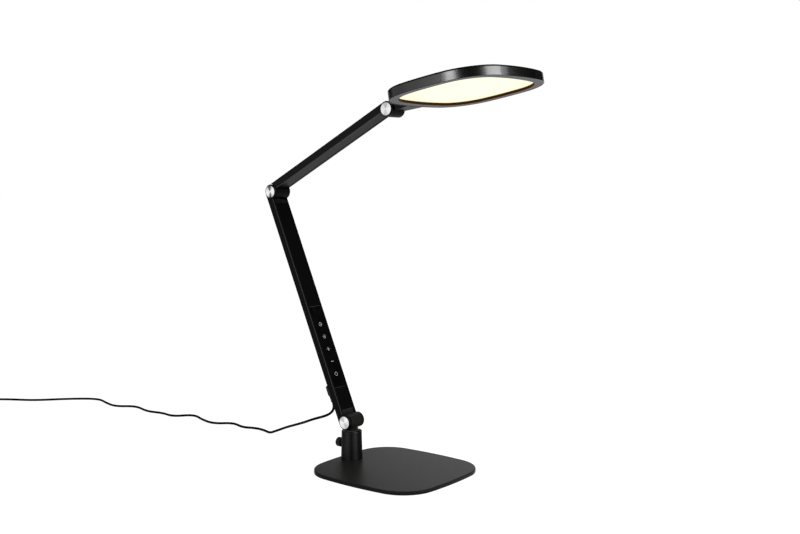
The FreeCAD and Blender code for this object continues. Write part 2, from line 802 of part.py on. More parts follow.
def elbow_knuckle():
    owner = body("elbow_knuckle", UPPER)
    outline = sketch(owner, "XZ_Plane")
    rectangle(outline, WEB_INSIDE, "0", COVER_BACK, "tang_length")
    pad(owner, outline, f"2 * ({UPPER_INNER} - fit_gap)", both=True)
    barrel(owner, LOWER_BARREL)
    holes = sketch(owner, "YZ_Plane")
    tang_screw_circles(holes, "tang_screw_radius + running_gap")
    pocket(owner, holes, "barrel_radius + overrun")


def tang_screw_circles(outline, radius):
    for i in range(2):
        circle(outline, "0", f"tang_screw_first + tang_screw_pitch * {i}", radius)


def elbow_knuckle_screws():
    owner = body("elbow_knuckle_screws", UPPER)
    outline = sketch(owner, "YZ_Plane", COVER_BACK)
    tang_screw_circles(outline, "tang_screw_radius")
    pad(owner, outline, f"{COVER_BACK} - {WEB_INSIDE}", back=True)


def dc_socket():
    owner = body("dc_socket", PLUG)
    block = sketch(owner, "YZ_Plane", WEB_INSIDE)
    rectangle(block, "-socket_width / 2", "-socket_height / 2", "socket_width / 2", "socket_height / 2")
    pad(owner, block, f"{COVER_BACK} - {WEB_INSIDE}")
    collar = sketch(owner, "YZ_Plane", "-barrel_radius")
    circle(collar, "0", "0", "socket_collar")
    pad(owner, collar, "arm_web")
    bore = sketch(owner, "YZ_Plane", "-barrel_radius")
    circle(bore, "0", "0", "plug_barrel_radius + running_gap")
    circle(bore, "0", "0", "socket_pin")
    pocket(owner, bore, "plug_barrel_length + fit_gap", back=True)


def dc_plug():
    """A right-angled moulded plug whose ribbed strain relief points down along the arm."""
    owner = body("dc_plug", LOWER)
    front = "-barrel_radius - fit_gap"
    shoulder = "-plug_axis + plug_relief_radius"
    outline = sketch(owner, "XZ_Plane")
    polygon(outline, (("-plug_back", "plug_low"), (shoulder, "plug_low"),
                      (front, "plug_height - socket_collar"), (front, "plug_height + socket_collar"),
                      (shoulder, "plug_top"), ("-plug_back", "plug_top")))
    pad(owner, outline, "plug_width", both=True)
    dress(owner, "Fillet", "plug_round",
          lambda edge: near(edge.BoundBox.XMin, "-plug_back") or near(edge.BoundBox.ZMin, "plug_top"))
    relief = sketch(owner, "XZ_Plane", across="-plug_axis")
    polygon(relief, relief_points("plug_relief_end", "plug_low + overrun", "plug_relief_tip",
                                  "plug_relief_radius"))
    revolve(owner, relief, "V_Axis")


def relief_points(tip, root, tip_radius, root_radius):
    """A tapered strain relief's half outline, with a groove between each rib and the next."""
    count = int(number("relief_rib_count"))
    rib_share = 0.5
    points = [("0", tip)]
    for i in range(count):
        begin = f"({i} / relief_rib_count)"
        middle = f"(({i} + {rib_share}) / relief_rib_count)"
        stop = f"(({i} + 1) / relief_rib_count)"
        for share in (begin, middle):
            points.append((f"{tip_radius} + ({root_radius} - {tip_radius}) * {share}",
                           f"{tip} + ({root} - ({tip})) * {share}"))
        for share in (middle, stop):
            points.append((f"{tip_radius} + ({root_radius} - {tip_radius}) * {share} - relief_rib_depth",
                           f"{tip} + ({root} - ({tip})) * {share}"))
    points.append((f"{root_radius}", root))
    points.append(("0", root))
    return points


def dc_plug_barrel():
    start = "-barrel_radius - fit_gap"
    turned("dc_plug_barrel", PLUG, "X", [
        ring_points("plug_barrel_bore", "plug_barrel_radius", start,
                    "-barrel_radius + plug_barrel_length")])


def bowed_plate(label, low, thickness, inset):
    owner = body(label, HEAD)
    outline = sketch(owner, "XY_Plane", low)
    bowed_outline(outline, "head", inset)
    pad(owner, outline, thickness)
    return owner


def bowed_ring(label, low, thickness, outer, inner):
    owner = body(label, HEAD)
    outline = sketch(owner, "XY_Plane", low)
    bowed_outline(outline, "head", outer)
    bowed_outline(outline, "head", inner)
    pad(owner, outline, thickness)
    return owner


# Levels of the head's layers, from its underside up, above the hinge axis
HEAD_LOW = "(-head_drop)"
BEZEL_LOW = f"({HEAD_LOW} + bezel_recess)"
DIFFUSER_LOW = f"({BEZEL_LOW} + bezel_thickness)"
GUIDE_LOW = f"({DIFFUSER_LOW} + diffuser_thickness)"
REFLECTOR_LOW = f"({GUIDE_LOW} + guide_thickness)"
SPREADER_LOW = f"({REFLECTOR_LOW} + reflector_thickness)"
HEAD_TOP = f"({HEAD_LOW} + head_height)"


def head_housing():
    owner = bowed_plate("head_housing", HEAD_LOW, "head_height", "0")
    dress(owner, "Fillet", "head_edge", level_with(HEAD_TOP))
    dress(owner, "Fillet", "head_rim", level_with(HEAD_LOW))
    near_end = "-head_reach + lug_start"
    far_end = "-head_length / 2 + lug_into_wall"
    lug = sketch(owner, "XY_Plane", HEAD_LOW)
    polygon(lug, ((near_end, "-lug_narrow"), (far_end, "-lug_wide"),
                  (far_end, "lug_wide"), (near_end, "lug_narrow")))
    pad(owner, lug, "lug_height")
    slanted = lambda edge: box_of(edge, "x") > number("lug_edge") and box_of(edge, "z") < number("lug_edge")
    dress(owner, "Fillet", "lug_edge",
          lambda edge: slanted(edge) and near(edge.BoundBox.XMin, near_end))
    cavity = sketch(owner, "XY_Plane", HEAD_LOW)
    bowed_outline(cavity, "head", "head_wall")
    pocket(owner, cavity, "head_height - head_roof", back=True)
    slot = sketch(owner, "XZ_Plane", across="-head_reach")
    rectangle(slot, "0", "-lug_tang_drop - fit_gap", "lug_tang_reach + fit_gap",
              "-lug_tang_drop + lug_tang_height + fit_gap")
    pocket(owner, slot, "lug_tang_width + 2 * fit_gap", both=True)
    clear = sketch(owner, "XZ_Plane", across="-head_reach")
    circle(clear, "0", "0", "barrel_radius + barrel_clearance")
    pocket(owner, clear, "2 * lug_wide", both=True)
    holes = sketch(owner, "XY_Plane", HEAD_LOW, "-head_reach")
    lug_pin_circles(holes, "lug_pin_radius + running_gap")
    pocket(owner, holes, "head_drop + lug_tang_height", back=True)


def lug_pin_circles(outline, radius):
    for side in ("-", ""):
        circle(outline, "lug_pin_reach", f"{side}lug_pin_spacing / 2", radius)


def head_knuckle():
    owner = body("head_knuckle", HEAD_HINGE)
    outline = sketch(owner, "XZ_Plane")
    rectangle(outline, "0", "-lug_tang_drop", "lug_tang_reach", "-lug_tang_drop + lug_tang_height")
    pad(owner, outline, "lug_tang_width", both=True)
    barrel(owner, UPPER_BARREL)
    holes = sketch(owner, "XY_Plane", HEAD_LOW)
    lug_pin_circles(holes, "lug_pin_radius + running_gap")
    pocket(owner, holes, "head_drop + lug_tang_height", back=True)


def head_lug_pins():
    owner = body("head_lug_pins", HEAD_HINGE)
    outline = sketch(owner, "XY_Plane", f"{HEAD_LOW} + bezel_recess")
    lug_pin_circles(outline, "lug_pin_radius")
    pad(owner, outline, "head_drop + lug_tang_height - bezel_recess - fit_gap")


def head_bezel():
    owner = bowed_ring("head_bezel", BEZEL_LOW, "bezel_thickness", "head_wall + fit_gap", "bezel_width")
    low = level_with(BEZEL_LOW)
    inner_radii = [f"head_{arc} - bezel_width" for arc in ("end_bow", "side_bow", "corner")]
    dress(owner, "Fillet", "bezel_edge",
          lambda edge: low(edge) and any(near(edge.Curve.Radius, radius) for radius in inner_radii))


def head_layers():
    bowed_plate("diffuser", DIFFUSER_LOW, "diffuser_thickness", "diffuser_inset")
    bowed_plate("light_guide", GUIDE_LOW, "guide_thickness", "guide_inset")
    bowed_plate("reflector", REFLECTOR_LOW, "reflector_thickness", "guide_inset")
    bowed_plate("heat_spreader", SPREADER_LOW, "spreader_thickness", "diffuser_inset")
    bowed_ring("light_strip", GUIDE_LOW, "guide_thickness", "strip_inset", "strip_inset + strip_thickness")


def part_feature(label, shape):
    made = doc.addObject("Part::Feature", label)
    made.Label = label
    made.Shape = shape
    NODES.append(made)
    return made


def light_diodes():
    """Rows of diodes on the strip's inner face, spread over the head's two side arcs."""
    inset = number("strip_inset + strip_thickness + fit_gap")
    half_x, half_y, bow_x, bow_y, corner = [
        number(s) - inset for s in ("head_length / 2", "head_width / 2", "head_end_bow", "head_side_bow",
                                    "head_corner")]
    corner_middle = bowed_corner(half_x, half_y, bow_x, bow_y, corner)
    middle = half_y - bow_y
    half_turn = math.degrees(math.atan2(corner_middle.x, corner_middle.y - middle))
    size = [number(s) for s in ("diode_length", "diode_depth", "diode_height")]
    count = int(number("diode_count"))
    made = []
    for side in (0, 180):
        for i in range(count):
            turn_share = (2 * i + 1) / count - 1
            diode = Part.makeBox(*size, Vector(-size[0] / 2, bow_y - size[1], 0))
            diode.translate(Vector(0, 0, number(GUIDE_LOW)))
            diode.rotate(Vector(0, 0, 0), Vector(0, 0, 1), half_turn * turn_share)
            diode.translate(Vector(0, middle, 0))
            diode.rotate(Vector(0, 0, 0), Vector(0, 0, 1), side)
            made.append(diode)
    node = part_feature("light_diodes", Part.makeCompound(made))
    node.setExpression("Placement", HEAD)


def rounded_route(points):
    """Straight runs joined by tangent arcs, as large as the runs allow, and the arcs' radii."""
    run_share = 0.45
    places = [Vector(*p) for p in points]
    edges = []
    radii = []
    start = places[0]
    for before, corner, after in zip(places, places[1:], places[2:]):
        back = before - corner
        ahead = after - corner
        reach = run_share * min(back.Length, ahead.Length)
        half_turn = (math.pi - back.getAngle(ahead)) / 2
        radius = reach / math.tan(half_turn)
        back.normalize()
        ahead.normalize()
        enter = corner + back * reach
        leave = corner + ahead * reach
        inward = back + ahead
        inward.normalize()
        middle = corner + inward * (radius / math.cos(half_turn) - radius)
        edges.append(Part.LineSegment(start, enter).toShape())
        edges.append(Part.Arc(enter, middle, leave).toShape())
        radii.append(radius)
        start = leave
    edges.append(Part.LineSegment(start, places[-1]).toShape())
    return Part.Wire(edges), radii


def tube(path):
    """A round tube along a path, checked against its section times its length."""
    start = path.OrderedEdges[0]
    along = start.tangentAt(start.FirstParameter)
    radius = number("cord_radius")
    ring = Part.makeCircle(radius, start.valueAt(start.FirstParameter), along)
    solid = path.makePipeShell([Part.Wire([ring])], True, False)
    share = solid.Volume / (math.pi * radius**2 * path.Length)
    print(f"tube length {path.Length:.1f}, volume over section times length {share:.4f}")
    return solid


def coil_route():
    """Half turns that spiral in on the lower layer, climb on the innermost, and spiral out above."""
    half_turns = int(number("coil_half_turns"))
    climb = half_turns // 2 - 1
    step = number("coil_pitch") / 2
    heading = math.radians(number("coil_heading"))
    out = Vector(math.cos(heading), math.sin(heading), 0)
    travel = Vector(-out.y, out.x, 0)
    low = number("coil_lift + cord_radius")
    here = Vector(number("coil_x"), number("coil_y"), low) + out * number("coil_radius")
    lead = number("coil_lead")
    edges = [Part.LineSegment(here - travel * lead, here).toShape()]
    for i in range(half_turns):
        radius = number("coil_radius") - step * (i if i <= climb else 2 * climb - i)
        there = here - out * (2 * radius)
        if i == climb:
            there = there + Vector(0, 0, number("coil_layer"))
        across = there - here
        middle = (here + there) / 2 + travel * (across.Length / 2)
        edges.append(Part.Arc(here, middle, there).toShape())
        here = there
        out = out * -1
        travel = travel * -1
    edges.append(Part.LineSegment(here, here + travel * lead).toShape())
    return Part.Wire(edges)


def least_gap(path):
    """The least clear distance between parts of a tube that lie over half a turn apart."""
    step = number("cord_radius")
    points = path.discretize(Distance=step)
    apart = int(number("coil_radius - coil_pitch * coil_half_turns / 4") * math.pi / step)
    gaps = [(p - q).Length for i, p in enumerate(points) for q in points[i + apart:]]
    return min(gaps) - number("2 * cord_radius")


def cord():
    drop, drop_radii = rounded_route(DROP_POINTS)
    turns = coil_route()
    entry = turns.OrderedVertexes[0].Point
    approach = entry - turns.OrderedEdges[0].tangentAt(0) * number("coil_approach")
    floor, floor_radii = rounded_route(FLOOR_POINTS + (tuple(approach), tuple(entry)))
    print("drop radii", [round(r, 1) for r in drop_radii])
    print("floor radii", [round(r, 1) for r in floor_radii])
    length = drop.Length + floor.Length + turns.Length
    print(f"coil least gap {least_gap(turns):.2f}, cord length {length:.1f}")
    part_feature("cord_drop", tube(drop))
    part_feature("cord_floor", tube(floor))
    part_feature("cord_coil", tube(turns))


def cord_tie():
    """A flat band round the bundle of turns at one place."""
    innermost = "(coil_radius - coil_pitch / 2 * (coil_half_turns / 2 - 1))"
    outermost = "(coil_radius + coil_pitch / 2)"
    inside = f"({innermost} - cord_radius - coil_lift + tie_thickness)"
    outside = f"({outermost} + cord_radius + coil_pitch / 2)"
    top = "(coil_lift * 2 + cord_radius * 2 + coil_layer - tie_thickness)"
    where = frame("coil_x", "0", "tie_heading", "coil_y", "0; 0; 1")
    owner = body("cord_tie", where)
    outline = sketch(owner, "XZ_Plane")
    rectangle(outline, inside, "tie_thickness", outside, top)
    rectangle(outline, f"{inside} - tie_thickness", "0", f"{outside} + tie_thickness",
              f"{top} + tie_thickness")
    pad(owner, outline, "tie_width", both=True)


# The coil's turns end above where they began, so the adapter lies ahead of that point
ADAPTER_AHEAD = "(coil_lead + adapter_relief)"
ADAPTER = frame(f"coil_x + coil_radius * cos(coil_heading) - {ADAPTER_AHEAD} * sin(coil_heading)",
                "0", "coil_heading + 90",
                f"coil_y + coil_radius * sin(coil_heading) + {ADAPTER_AHEAD} * cos(coil_heading)",
                "0; 0; 1")


def adapter_case():
    case = body("adapter_case", ADAPTER)
    outline = sketch(case, "XY_Plane")
    rectangle(outline, "0", "-adapter_width / 2", "adapter_length", "adapter_width / 2")
    pad(case, outline, "adapter_height")
    upright = lambda edge: near(box_of(edge, "z"), "adapter_height")
    dress(case, "Fillet", "adapter_round", upright)
    top = level_with("adapter_height")
    low = level_with("0")
    dress(case, "Fillet", "adapter_edge", lambda edge: top(edge) or low(edge))
    seam = sketch(case, "XY_Plane", "adapter_height / 2")
    rectangle(seam, "-overrun", "-adapter_width", "adapter_length + overrun", "adapter_width")
    rectangle(seam, "adapter_seam", "-adapter_width / 2 + adapter_seam",
              "adapter_length - adapter_seam", "adapter_width / 2 - adapter_seam")
    pocket(case, seam, "adapter_seam", both=True)
    face = sketch(case, "YZ_Plane", "adapter_length - adapter_edge")
    low_edge = "(adapter_height - plug_face_height) / 2"
    top_edge = "(adapter_height + plug_face_height) / 2"
    flat = "(plug_face_width / 2 - plug_face_round)"
    polygon(face, ((f"-{flat}", low_edge), (flat, low_edge), ("plug_face_width / 2", "adapter_height / 2"),
                   (flat, top_edge), (f"-{flat}", top_edge), ("-plug_face_width / 2", "adapter_height / 2")))
    pad(case, face, "plug_face_length + adapter_edge")


def adapter_pins():
    pins = body("adapter_pins", ADAPTER)
    outline = sketch(pins, "YZ_Plane", "adapter_length + plug_face_length")
    for side in ("-", ""):
        circle(outline, f"{side}pin_spacing / 2", "adapter_height / 2", "pin_radius")
    pad(pins, outline, "pin_length")
    dress(pins, "Fillet", "pin_edge",
          lambda edge: near(edge.BoundBox.XMin, "adapter_length + plug_face_length + pin_length"))


def adapter_relief():
    relief = body("adapter_relief", ADAPTER)
    outline = sketch(relief, "XY_Plane", "coil_lift + cord_radius + coil_layer")
    profile = relief_points("-adapter_relief", "0", "adapter_relief_tip", "adapter_relief_radius")
    polygon(outline, [(y, x) for x, y in profile])
    revolve(relief, outline, "H_Axis")


def build():
    base_plate()
    base_pad()
    post()
    post_screw()
    swivel_bushes()
    thumb_knob()
    thumb_stud()
    neck()
    swivel_washer()
    hinge("lower_pivot", LOWER, "lower_arm_width", LOWER_BARREL, NECK)
    hinge("elbow_pivot", ELBOW_OF_LOWER, "lower_arm_width", LOWER_BARREL, UPPER)
    hinge("head_pivot", TIP_OF_UPPER, "upper_arm_width", UPPER_BARREL, HEAD_HINGE)
    lower_arm_channel()
    cover("lower_arm_cover_low", LOWER, LOWER_INNER, "cover_end", "panel_start - seam / 2")
    cover("control_panel", LOWER, LOWER_INNER, "panel_start + seam / 2", "panel_end - seam / 2")
    cover("lower_arm_cover", LOWER, LOWER_INNER, "panel_end + seam / 2", "lower_arm_length - cover_end")
    end_piece("lower_end_piece", LOWER, LOWER_INNER, "")
    end_piece("elbow_end_piece", ELBOW_OF_LOWER, LOWER_INNER, "-")
    touch_board()
    wires("lower_arm_wires", LOWER, "plug_height + socket_height / 2", "lower_arm_length - cover_end")
    dc_socket()
    dc_plug()
    dc_plug_barrel()
    upper_arm_channel()
    cover("upper_arm_cover", UPPER, UPPER_INNER, "upper_cover_start", "upper_arm_length - cover_end")
    end_piece("upper_end_piece", TIP_OF_UPPER, UPPER_INNER, "-")
    elbow_knuckle()
    elbow_knuckle_screws()
    wires("upper_arm_wires", UPPER, "tang_length", "upper_arm_length - cover_end")
    head_housing()
    head_knuckle()
    head_lug_pins()
    head_bezel()
    head_layers()
    light_diodes()
    cord()
    cord_tie()
    adapter_case()
    adapter_pins()
    adapter_relief()


build()
doc.recompute()
failed = [o.Name for o in doc.Objects if "Invalid" in o.State or "Error" in o.State]
bad = [n.Label for n in NODES if n.Shape.isNull() or not n.Shape.isValid()]
if failed or bad:
    raise ValueError(f"failed objects {failed}, bad shapes {bad}")
os.makedirs("parts", exist_ok=True)
for piece in NODES:
    piece.Shape.exportStep(f"parts/{piece.Label}.step")
print(f"{len(NODES)} sub-parts written")
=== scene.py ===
"""A black desk lamp with a flat lit head, two hinged arms and a touch panel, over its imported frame."""
import json
from math import atan2, cos, pi, radians, sin

import bmesh
import bpy
from mathutils import Matrix, Vector

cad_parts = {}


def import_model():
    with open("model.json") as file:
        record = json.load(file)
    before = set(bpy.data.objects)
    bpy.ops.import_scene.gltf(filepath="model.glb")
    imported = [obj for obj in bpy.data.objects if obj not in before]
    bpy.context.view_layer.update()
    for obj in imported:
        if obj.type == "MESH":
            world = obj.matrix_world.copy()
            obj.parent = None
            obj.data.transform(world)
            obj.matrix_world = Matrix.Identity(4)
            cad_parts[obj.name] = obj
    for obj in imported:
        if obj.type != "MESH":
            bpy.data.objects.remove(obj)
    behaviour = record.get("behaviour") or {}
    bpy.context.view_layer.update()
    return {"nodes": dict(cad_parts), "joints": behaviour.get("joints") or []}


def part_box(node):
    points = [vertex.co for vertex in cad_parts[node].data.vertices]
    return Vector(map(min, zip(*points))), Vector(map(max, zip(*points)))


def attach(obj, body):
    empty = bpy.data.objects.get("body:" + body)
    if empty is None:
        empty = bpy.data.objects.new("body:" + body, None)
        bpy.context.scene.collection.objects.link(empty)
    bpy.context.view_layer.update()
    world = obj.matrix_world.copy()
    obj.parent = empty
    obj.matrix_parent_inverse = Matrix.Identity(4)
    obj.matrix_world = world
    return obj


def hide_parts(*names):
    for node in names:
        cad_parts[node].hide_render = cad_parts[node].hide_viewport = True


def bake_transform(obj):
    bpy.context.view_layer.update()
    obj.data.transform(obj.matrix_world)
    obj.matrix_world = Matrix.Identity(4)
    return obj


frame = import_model()
nodes = frame["nodes"]
joints = {joint["name"]: joint for joint in frame["joints"]}

MM = 0.001
UP = Vector((0, 0, 1))
ACROSS = Vector((0, 1, 0))

# Places of the hinges and directions of the arms, from the frame's joints, and the tilt of the head
PIVOT = Vector(joints["lower_tilt"]["pos_m"])
ELBOW = Vector(joints["elbow_bend"]["pos_m"])
TIP = Vector(joints["head_tilt"]["pos_m"])
LOWER_ALONG = (ELBOW - PIVOT).normalized()
UPPER_ALONG = (TIP - ELBOW).normalized()
LOWER_TURN = atan2(LOWER_ALONG.x, LOWER_ALONG.z)
UPPER_TURN = atan2(UPPER_ALONG.x, UPPER_ALONG.z)
LOWER_FRONT = ACROSS.cross(LOWER_ALONG)
UPPER_FRONT = ACROSS.cross(UPPER_ALONG)
HEAD_TURN = radians(-10.0)

# The photograph's camera: its place in metres, turn in degrees, and lens and sensor in millimetres
CAMERA_PLACE = (0.81590, -1.02358, 0.38151)
CAMERA_TURN = (84.74, 0.0, 38.28)
CAMERA_LENS = 47.38
CAMERA_SENSOR = 36.0


def camera():
    data = bpy.data.cameras.new("camera")
    data.lens = CAMERA_LENS
    data.sensor_width = CAMERA_SENSOR
    made = bpy.data.objects.new("camera", data)
    made.location = CAMERA_PLACE
    made.rotation_euler = [radians(turn) for turn in CAMERA_TURN]
    bpy.context.collection.objects.link(made)
    bpy.context.scene.camera = made


# The cord's route in metres: from the plug down to the desk, along the desk, and into a small coil
CORD_RADIUS = 1.75 * MM
CORD_SIDES = 14
ROUTE_STEPS = 6
DROP_POINTS = (
    (-0.10478, 0.0, 0.07506),
    (-0.1037, 0.0, 0.0716),
    (-0.1037, 0.0, 0.0674),
    (-0.1061, 0.0002, 0.0627),
    (-0.1124, 0.0008, 0.0577),
    (-0.1236, 0.0024, 0.05275),
    (-0.14564, 0.0056, 0.04526),
    (-0.168, 0.0104, 0.0363),
    (-0.192, 0.0172, 0.0278),
    (-0.216, 0.0256, 0.0195),
    (-0.236, 0.032, 0.0116),
    (-0.2485, 0.034, 0.0067),
)
FLOOR_POINTS = (
    (-0.261, 0.036, 0.0018),
    (-0.281, 0.0434, 0.00175),
    (-0.3, 0.0436, 0.00175),
    (-0.318, 0.035, 0.00175),
    (-0.348, 0.046, 0.00175),
    (-0.368, 0.024, 0.00175),
    (-0.4, 0.03, 0.00175),
    (-0.436, 0.045, 0.00175),
    (-0.453, 0.016, 0.00175),
    (-0.484, 0.022, 0.00175),
    (-0.512, 0.013, 0.00175),
    (-0.556, 0.027, 0.00175),
    (-0.58, 0.004, 0.00175),
    (-0.613, 0.0105, 0.00175),
    (-0.65, 0.023, 0.00175),
    (-0.69, -0.01, 0.00175),
    (-0.722, -0.052, 0.00195),
)
COIL_CENTRE = Vector((-0.778, -0.120, 0.00255))
COIL_HEADING = radians(128.3)
COIL_RADIUS = 24 * MM
COIL_PITCH = 4.1 * MM
COIL_LAYER = 4 * MM
COIL_HALF_TURNS = 12
COIL_LEAD = 12 * MM
COIL_APPROACH = 32 * MM
HALF_TURN_POINTS = 8


def coil_points():
    """Control points of a coil that spirals in on the desk, climbs on its innermost turn and spirals out."""
    climb = COIL_HALF_TURNS // 2 - 1
    out = Vector((cos(COIL_HEADING), sin(COIL_HEADING), 0))
    travel = Vector((-out.y, out.x, 0))
    here = COIL_CENTRE + out * COIL_RADIUS
    entry = here - travel * COIL_LEAD
    points = [entry - travel * COIL_APPROACH, entry]
    bow = 1 / cos(pi / HALF_TURN_POINTS / 2)
    for half in range(COIL_HALF_TURNS):
        inward = half if half <= climb else 2 * climb - half
        radius = COIL_RADIUS - inward * COIL_PITCH / 2
        there = here - out * (2 * radius)
        if half == climb:
            there = there + UP * COIL_LAYER
        middle = (here + there) / 2
        for step in range(HALF_TURN_POINTS):
            angle = pi * (step + 0.5) / HALF_TURN_POINTS
            points.append(middle + (here - middle) * cos(angle) * bow + travel * radius * sin(angle) * bow)
        here = there
        out = -out
        travel = -travel
    points.append(here + travel * COIL_LEAD)
    return points


def smooth_line(points):
    """Points along the smooth line that a route's control points draw."""
    curve = bpy.data.curves.new("route", "CURVE")
    curve.dimensions = "3D"
    curve.resolution_u = ROUTE_STEPS
    spline = curve.splines.new("NURBS")
    spline.points.add(len(points) - 1)
    for place, point in zip(spline.points, points):
        place.co = (*point, 1.0)
    spline.order_u = 3
    spline.use_endpoint_u = True
    carrier = bpy.data.objects.new("route", curve)
    mesh = bpy.data.meshes.new_from_object(carrier)
    line = [vertex.co.copy() for vertex in mesh.vertices]
    bpy.data.objects.remove(carrier)
    bpy.data.meshes.remove(mesh)
    bpy.data.curves.remove(curve)
    return line


def new_piece(name, build):
    """A mesh piece whose faces build adds to an empty mesh."""
    shape = bmesh.new()
    build(shape)
    bmesh.ops.recalc_face_normals(shape, faces=shape.faces)
    mesh = bpy.data.meshes.new(name)
    shape.to_mesh(mesh)
    shape.free()
    made = bpy.data.objects.new(name, mesh)
    bpy.context.collection.objects.link(made)
    return made


def tube(shape, line, radius, sides):
    """A round tube along a line, with rings that don't twist."""
    across = (line[1] - line[0]).orthogonal().normalized()
    rings = []
    for i, point in enumerate(line):
        ahead = (line[min(i + 1, len(line) - 1)] - line[max(i - 1, 0)]).normalized()
        across = (across - ahead * across.dot(ahead)).normalized()
        side = ahead.cross(across)
        turns = [2 * pi * k / sides for k in range(sides)]
        rings.append([shape.verts.new(point + (across * cos(t) + side * sin(t)) * radius) for t in turns])
    for low, high in zip(rings, rings[1:]):
        for k in range(sides):
            after = (k + 1) % sides
            face = shape.faces.new((low[k], low[after], high[after], high[k]))
            face.smooth = True
    shape.faces.new(rings[0])
    shape.faces.new(rings[-1])


def cord():
    """The low-voltage cord, which runs in curves from the lower arm's plug down to the desk."""
    line = smooth_line([Vector(p) for p in DROP_POINTS + FLOOR_POINTS] + coil_points())
    made = new_piece("cord", lambda shape: tube(shape, line, CORD_RADIUS, CORD_SIDES))
    made.data.materials.append(cord_jacket())
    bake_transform(made)
    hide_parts("cord_drop", "cord_floor", "cord_coil")


# Words for the shader's sockets
SOCKETS = {
    "color": "Base Color",
    "rough": "Roughness",
    "metal": "Metallic",
    "specular": "Specular IOR Level",
    "brushed": "Anisotropic",
    "glow": "Emission Color",
    "glow_strength": "Emission Strength",
    "clear": "Transmission Weight",
    "sheen": "Sheen Weight",
    "ior": "IOR",
}

# The range that noise mostly keeps to
NOISE_LOW = 0.32
NOISE_HIGH = 0.68


class Finish:
    """A procedural material: its constants sit on the shader, and its textures vary the rest."""

    def __init__(self, name, **look):
        self.material = bpy.data.materials.new(name)
        self.material.use_nodes = True
        self.tree = self.material.node_tree
        self.shader = self.tree.nodes["Principled BSDF"]
        self.normal = None
        for word, value in look.items():
            tinted = word in ("color", "glow")
            self.shader.inputs[SOCKETS[word]].default_value = (*value, 1.0) if tinted else value

    def node(self, kind, **inputs):
        """A node with values or links on its inputs, by name."""
        made = self.tree.nodes.new("ShaderNode" + kind)
        for name, value in inputs.items():
            if isinstance(value, bpy.types.NodeSocket):
                self.tree.links.new(value, made.inputs[name])
            else:
                made.inputs[name].default_value = value
        return made

    def place(self, size, turn=0.0, at=(0, 0, 0), spin=0.0):
        """Object coordinates about a point, turned about Y and Z, counted in a size along each axis."""
        object_place = self.node("TexCoord").outputs["Object"]
        made = self.node("Mapping", Vector=object_place, Location=at, Rotation=(0, turn, spin), Scale=size)
        made.vector_type = "TEXTURE"
        return made.outputs["Vector"]

    def noise(self, size, turn=0.0, detail=2.0):
        """Noise between 0 and 1 with grains of a size in metres along each axis."""
        made = self.node("TexNoise", Vector=self.place(size, turn), Scale=1.0, Detail=detail)
        return self.between(made.outputs["Fac"], 0.0, 1.0, NOISE_LOW, NOISE_HIGH)

    def between(self, share, low, high, start=0.0, end=1.0):
        """A value that goes from low to high as share goes from start to end."""
        ends = {"From Min": start, "From Max": end, "To Min": low, "To Max": high}
        return self.node("MapRange", Value=share, **ends).outputs["Result"]

    def facing(self, direction, start, end):
        """A share from 0 to 1 as the surface turns to a direction: start and end are cosines of the angle."""
        dot = self.node("VectorMath")
        dot.operation = "DOT_PRODUCT"
        self.tree.links.new(self.node("TexCoord").outputs["Normal"], dot.inputs[0])
        dot.inputs[1].default_value = direction
        return self.between(dot.outputs["Value"], 0.0, 1.0, start, end)

    def vary_rough(self, share, low, high):
        self.set("rough", self.between(share, low, high))

    def ramp(self, share, *stops):
        """A colour that goes through stops of a share and a grey level or a colour."""
        made = self.node("ValToRGB", Fac=share)
        made.color_ramp.interpolation = "EASE" if len(stops) > 2 else "LINEAR"
        marks = made.color_ramp.elements
        while len(marks) < len(stops):
            marks.new(1.0)
        for mark, (where, _) in zip(marks, stops):
            mark.position = where
        for mark, (_, tone) in zip(marks, stops):
            mark.color = (*tone, 1.0) if isinstance(tone, tuple) else (tone, tone, tone, 1.0)
        return made.outputs["Color"]

    def set(self, word, socket):
        self.tree.links.new(socket, self.shader.inputs[SOCKETS[word]])

    def vary_color(self, share, dark, light, word="color"):
        self.set(word, self.ramp(share, (0.0, dark), (1.0, light)))

    def gradient(self, kind, size, turn=0.0, at=(0, 0, 0), spin=0.0):
        """A gradient texture about a point."""
        made = self.node("TexGradient", Vector=self.place(size, turn, at, spin))
        made.gradient_type = kind
        return made.outputs["Fac"]

    def times(self, one, other):
        """The product of two colours."""
        made = self.node("Mix", Factor=1.0)
        made.data_type = "RGBA"
        made.blend_type = "MULTIPLY"
        sockets = [socket for socket in made.inputs if socket.type == "RGBA"]
        for socket, color in zip(sockets, (one, other)):
            self.tree.links.new(color, socket)
        return next(socket for socket in made.outputs if socket.type == "RGBA")

    def raised(self, normal):
        self.normal = normal
        self.tree.links.new(normal, self.shader.inputs["Normal"])

    def soften(self, radius):
        """Rounds sharp edges in shading."""
        self.raised(self.node("Bevel", Radius=radius).outputs["Normal"])

    def relief(self, height, depth, strength=1.0):
        """Raises the surface in shading by a height from 0 to 1 of a depth in metres."""
        made = self.node("Bump", Height=height, Strength=strength, Distance=depth)
        if self.normal:
            self.tree.links.new(self.normal, made.inputs["Normal"])
        self.raised(made.outputs["Normal"])


# Base: its reach from the middle, and the way in which it shines more
BASE_REACH = 90 * MM
BASE_LIT = radians(53.5)
BASE_SHINE = ((0.0, 0.11), (1.0, 0.53))

# Post: its axis, and its shine by share of a turn
POST_AXIS = Vector(joints["base_swivel"]["pos_m"])
POST_FAN = ((0.0, 0.1), (0.21, 0.03), (0.305, 0.42), (0.356, 0.12), (0.417, 1.0), (0.48, 0.05), (0.6, 0.02),
            (1.0, 0.1))
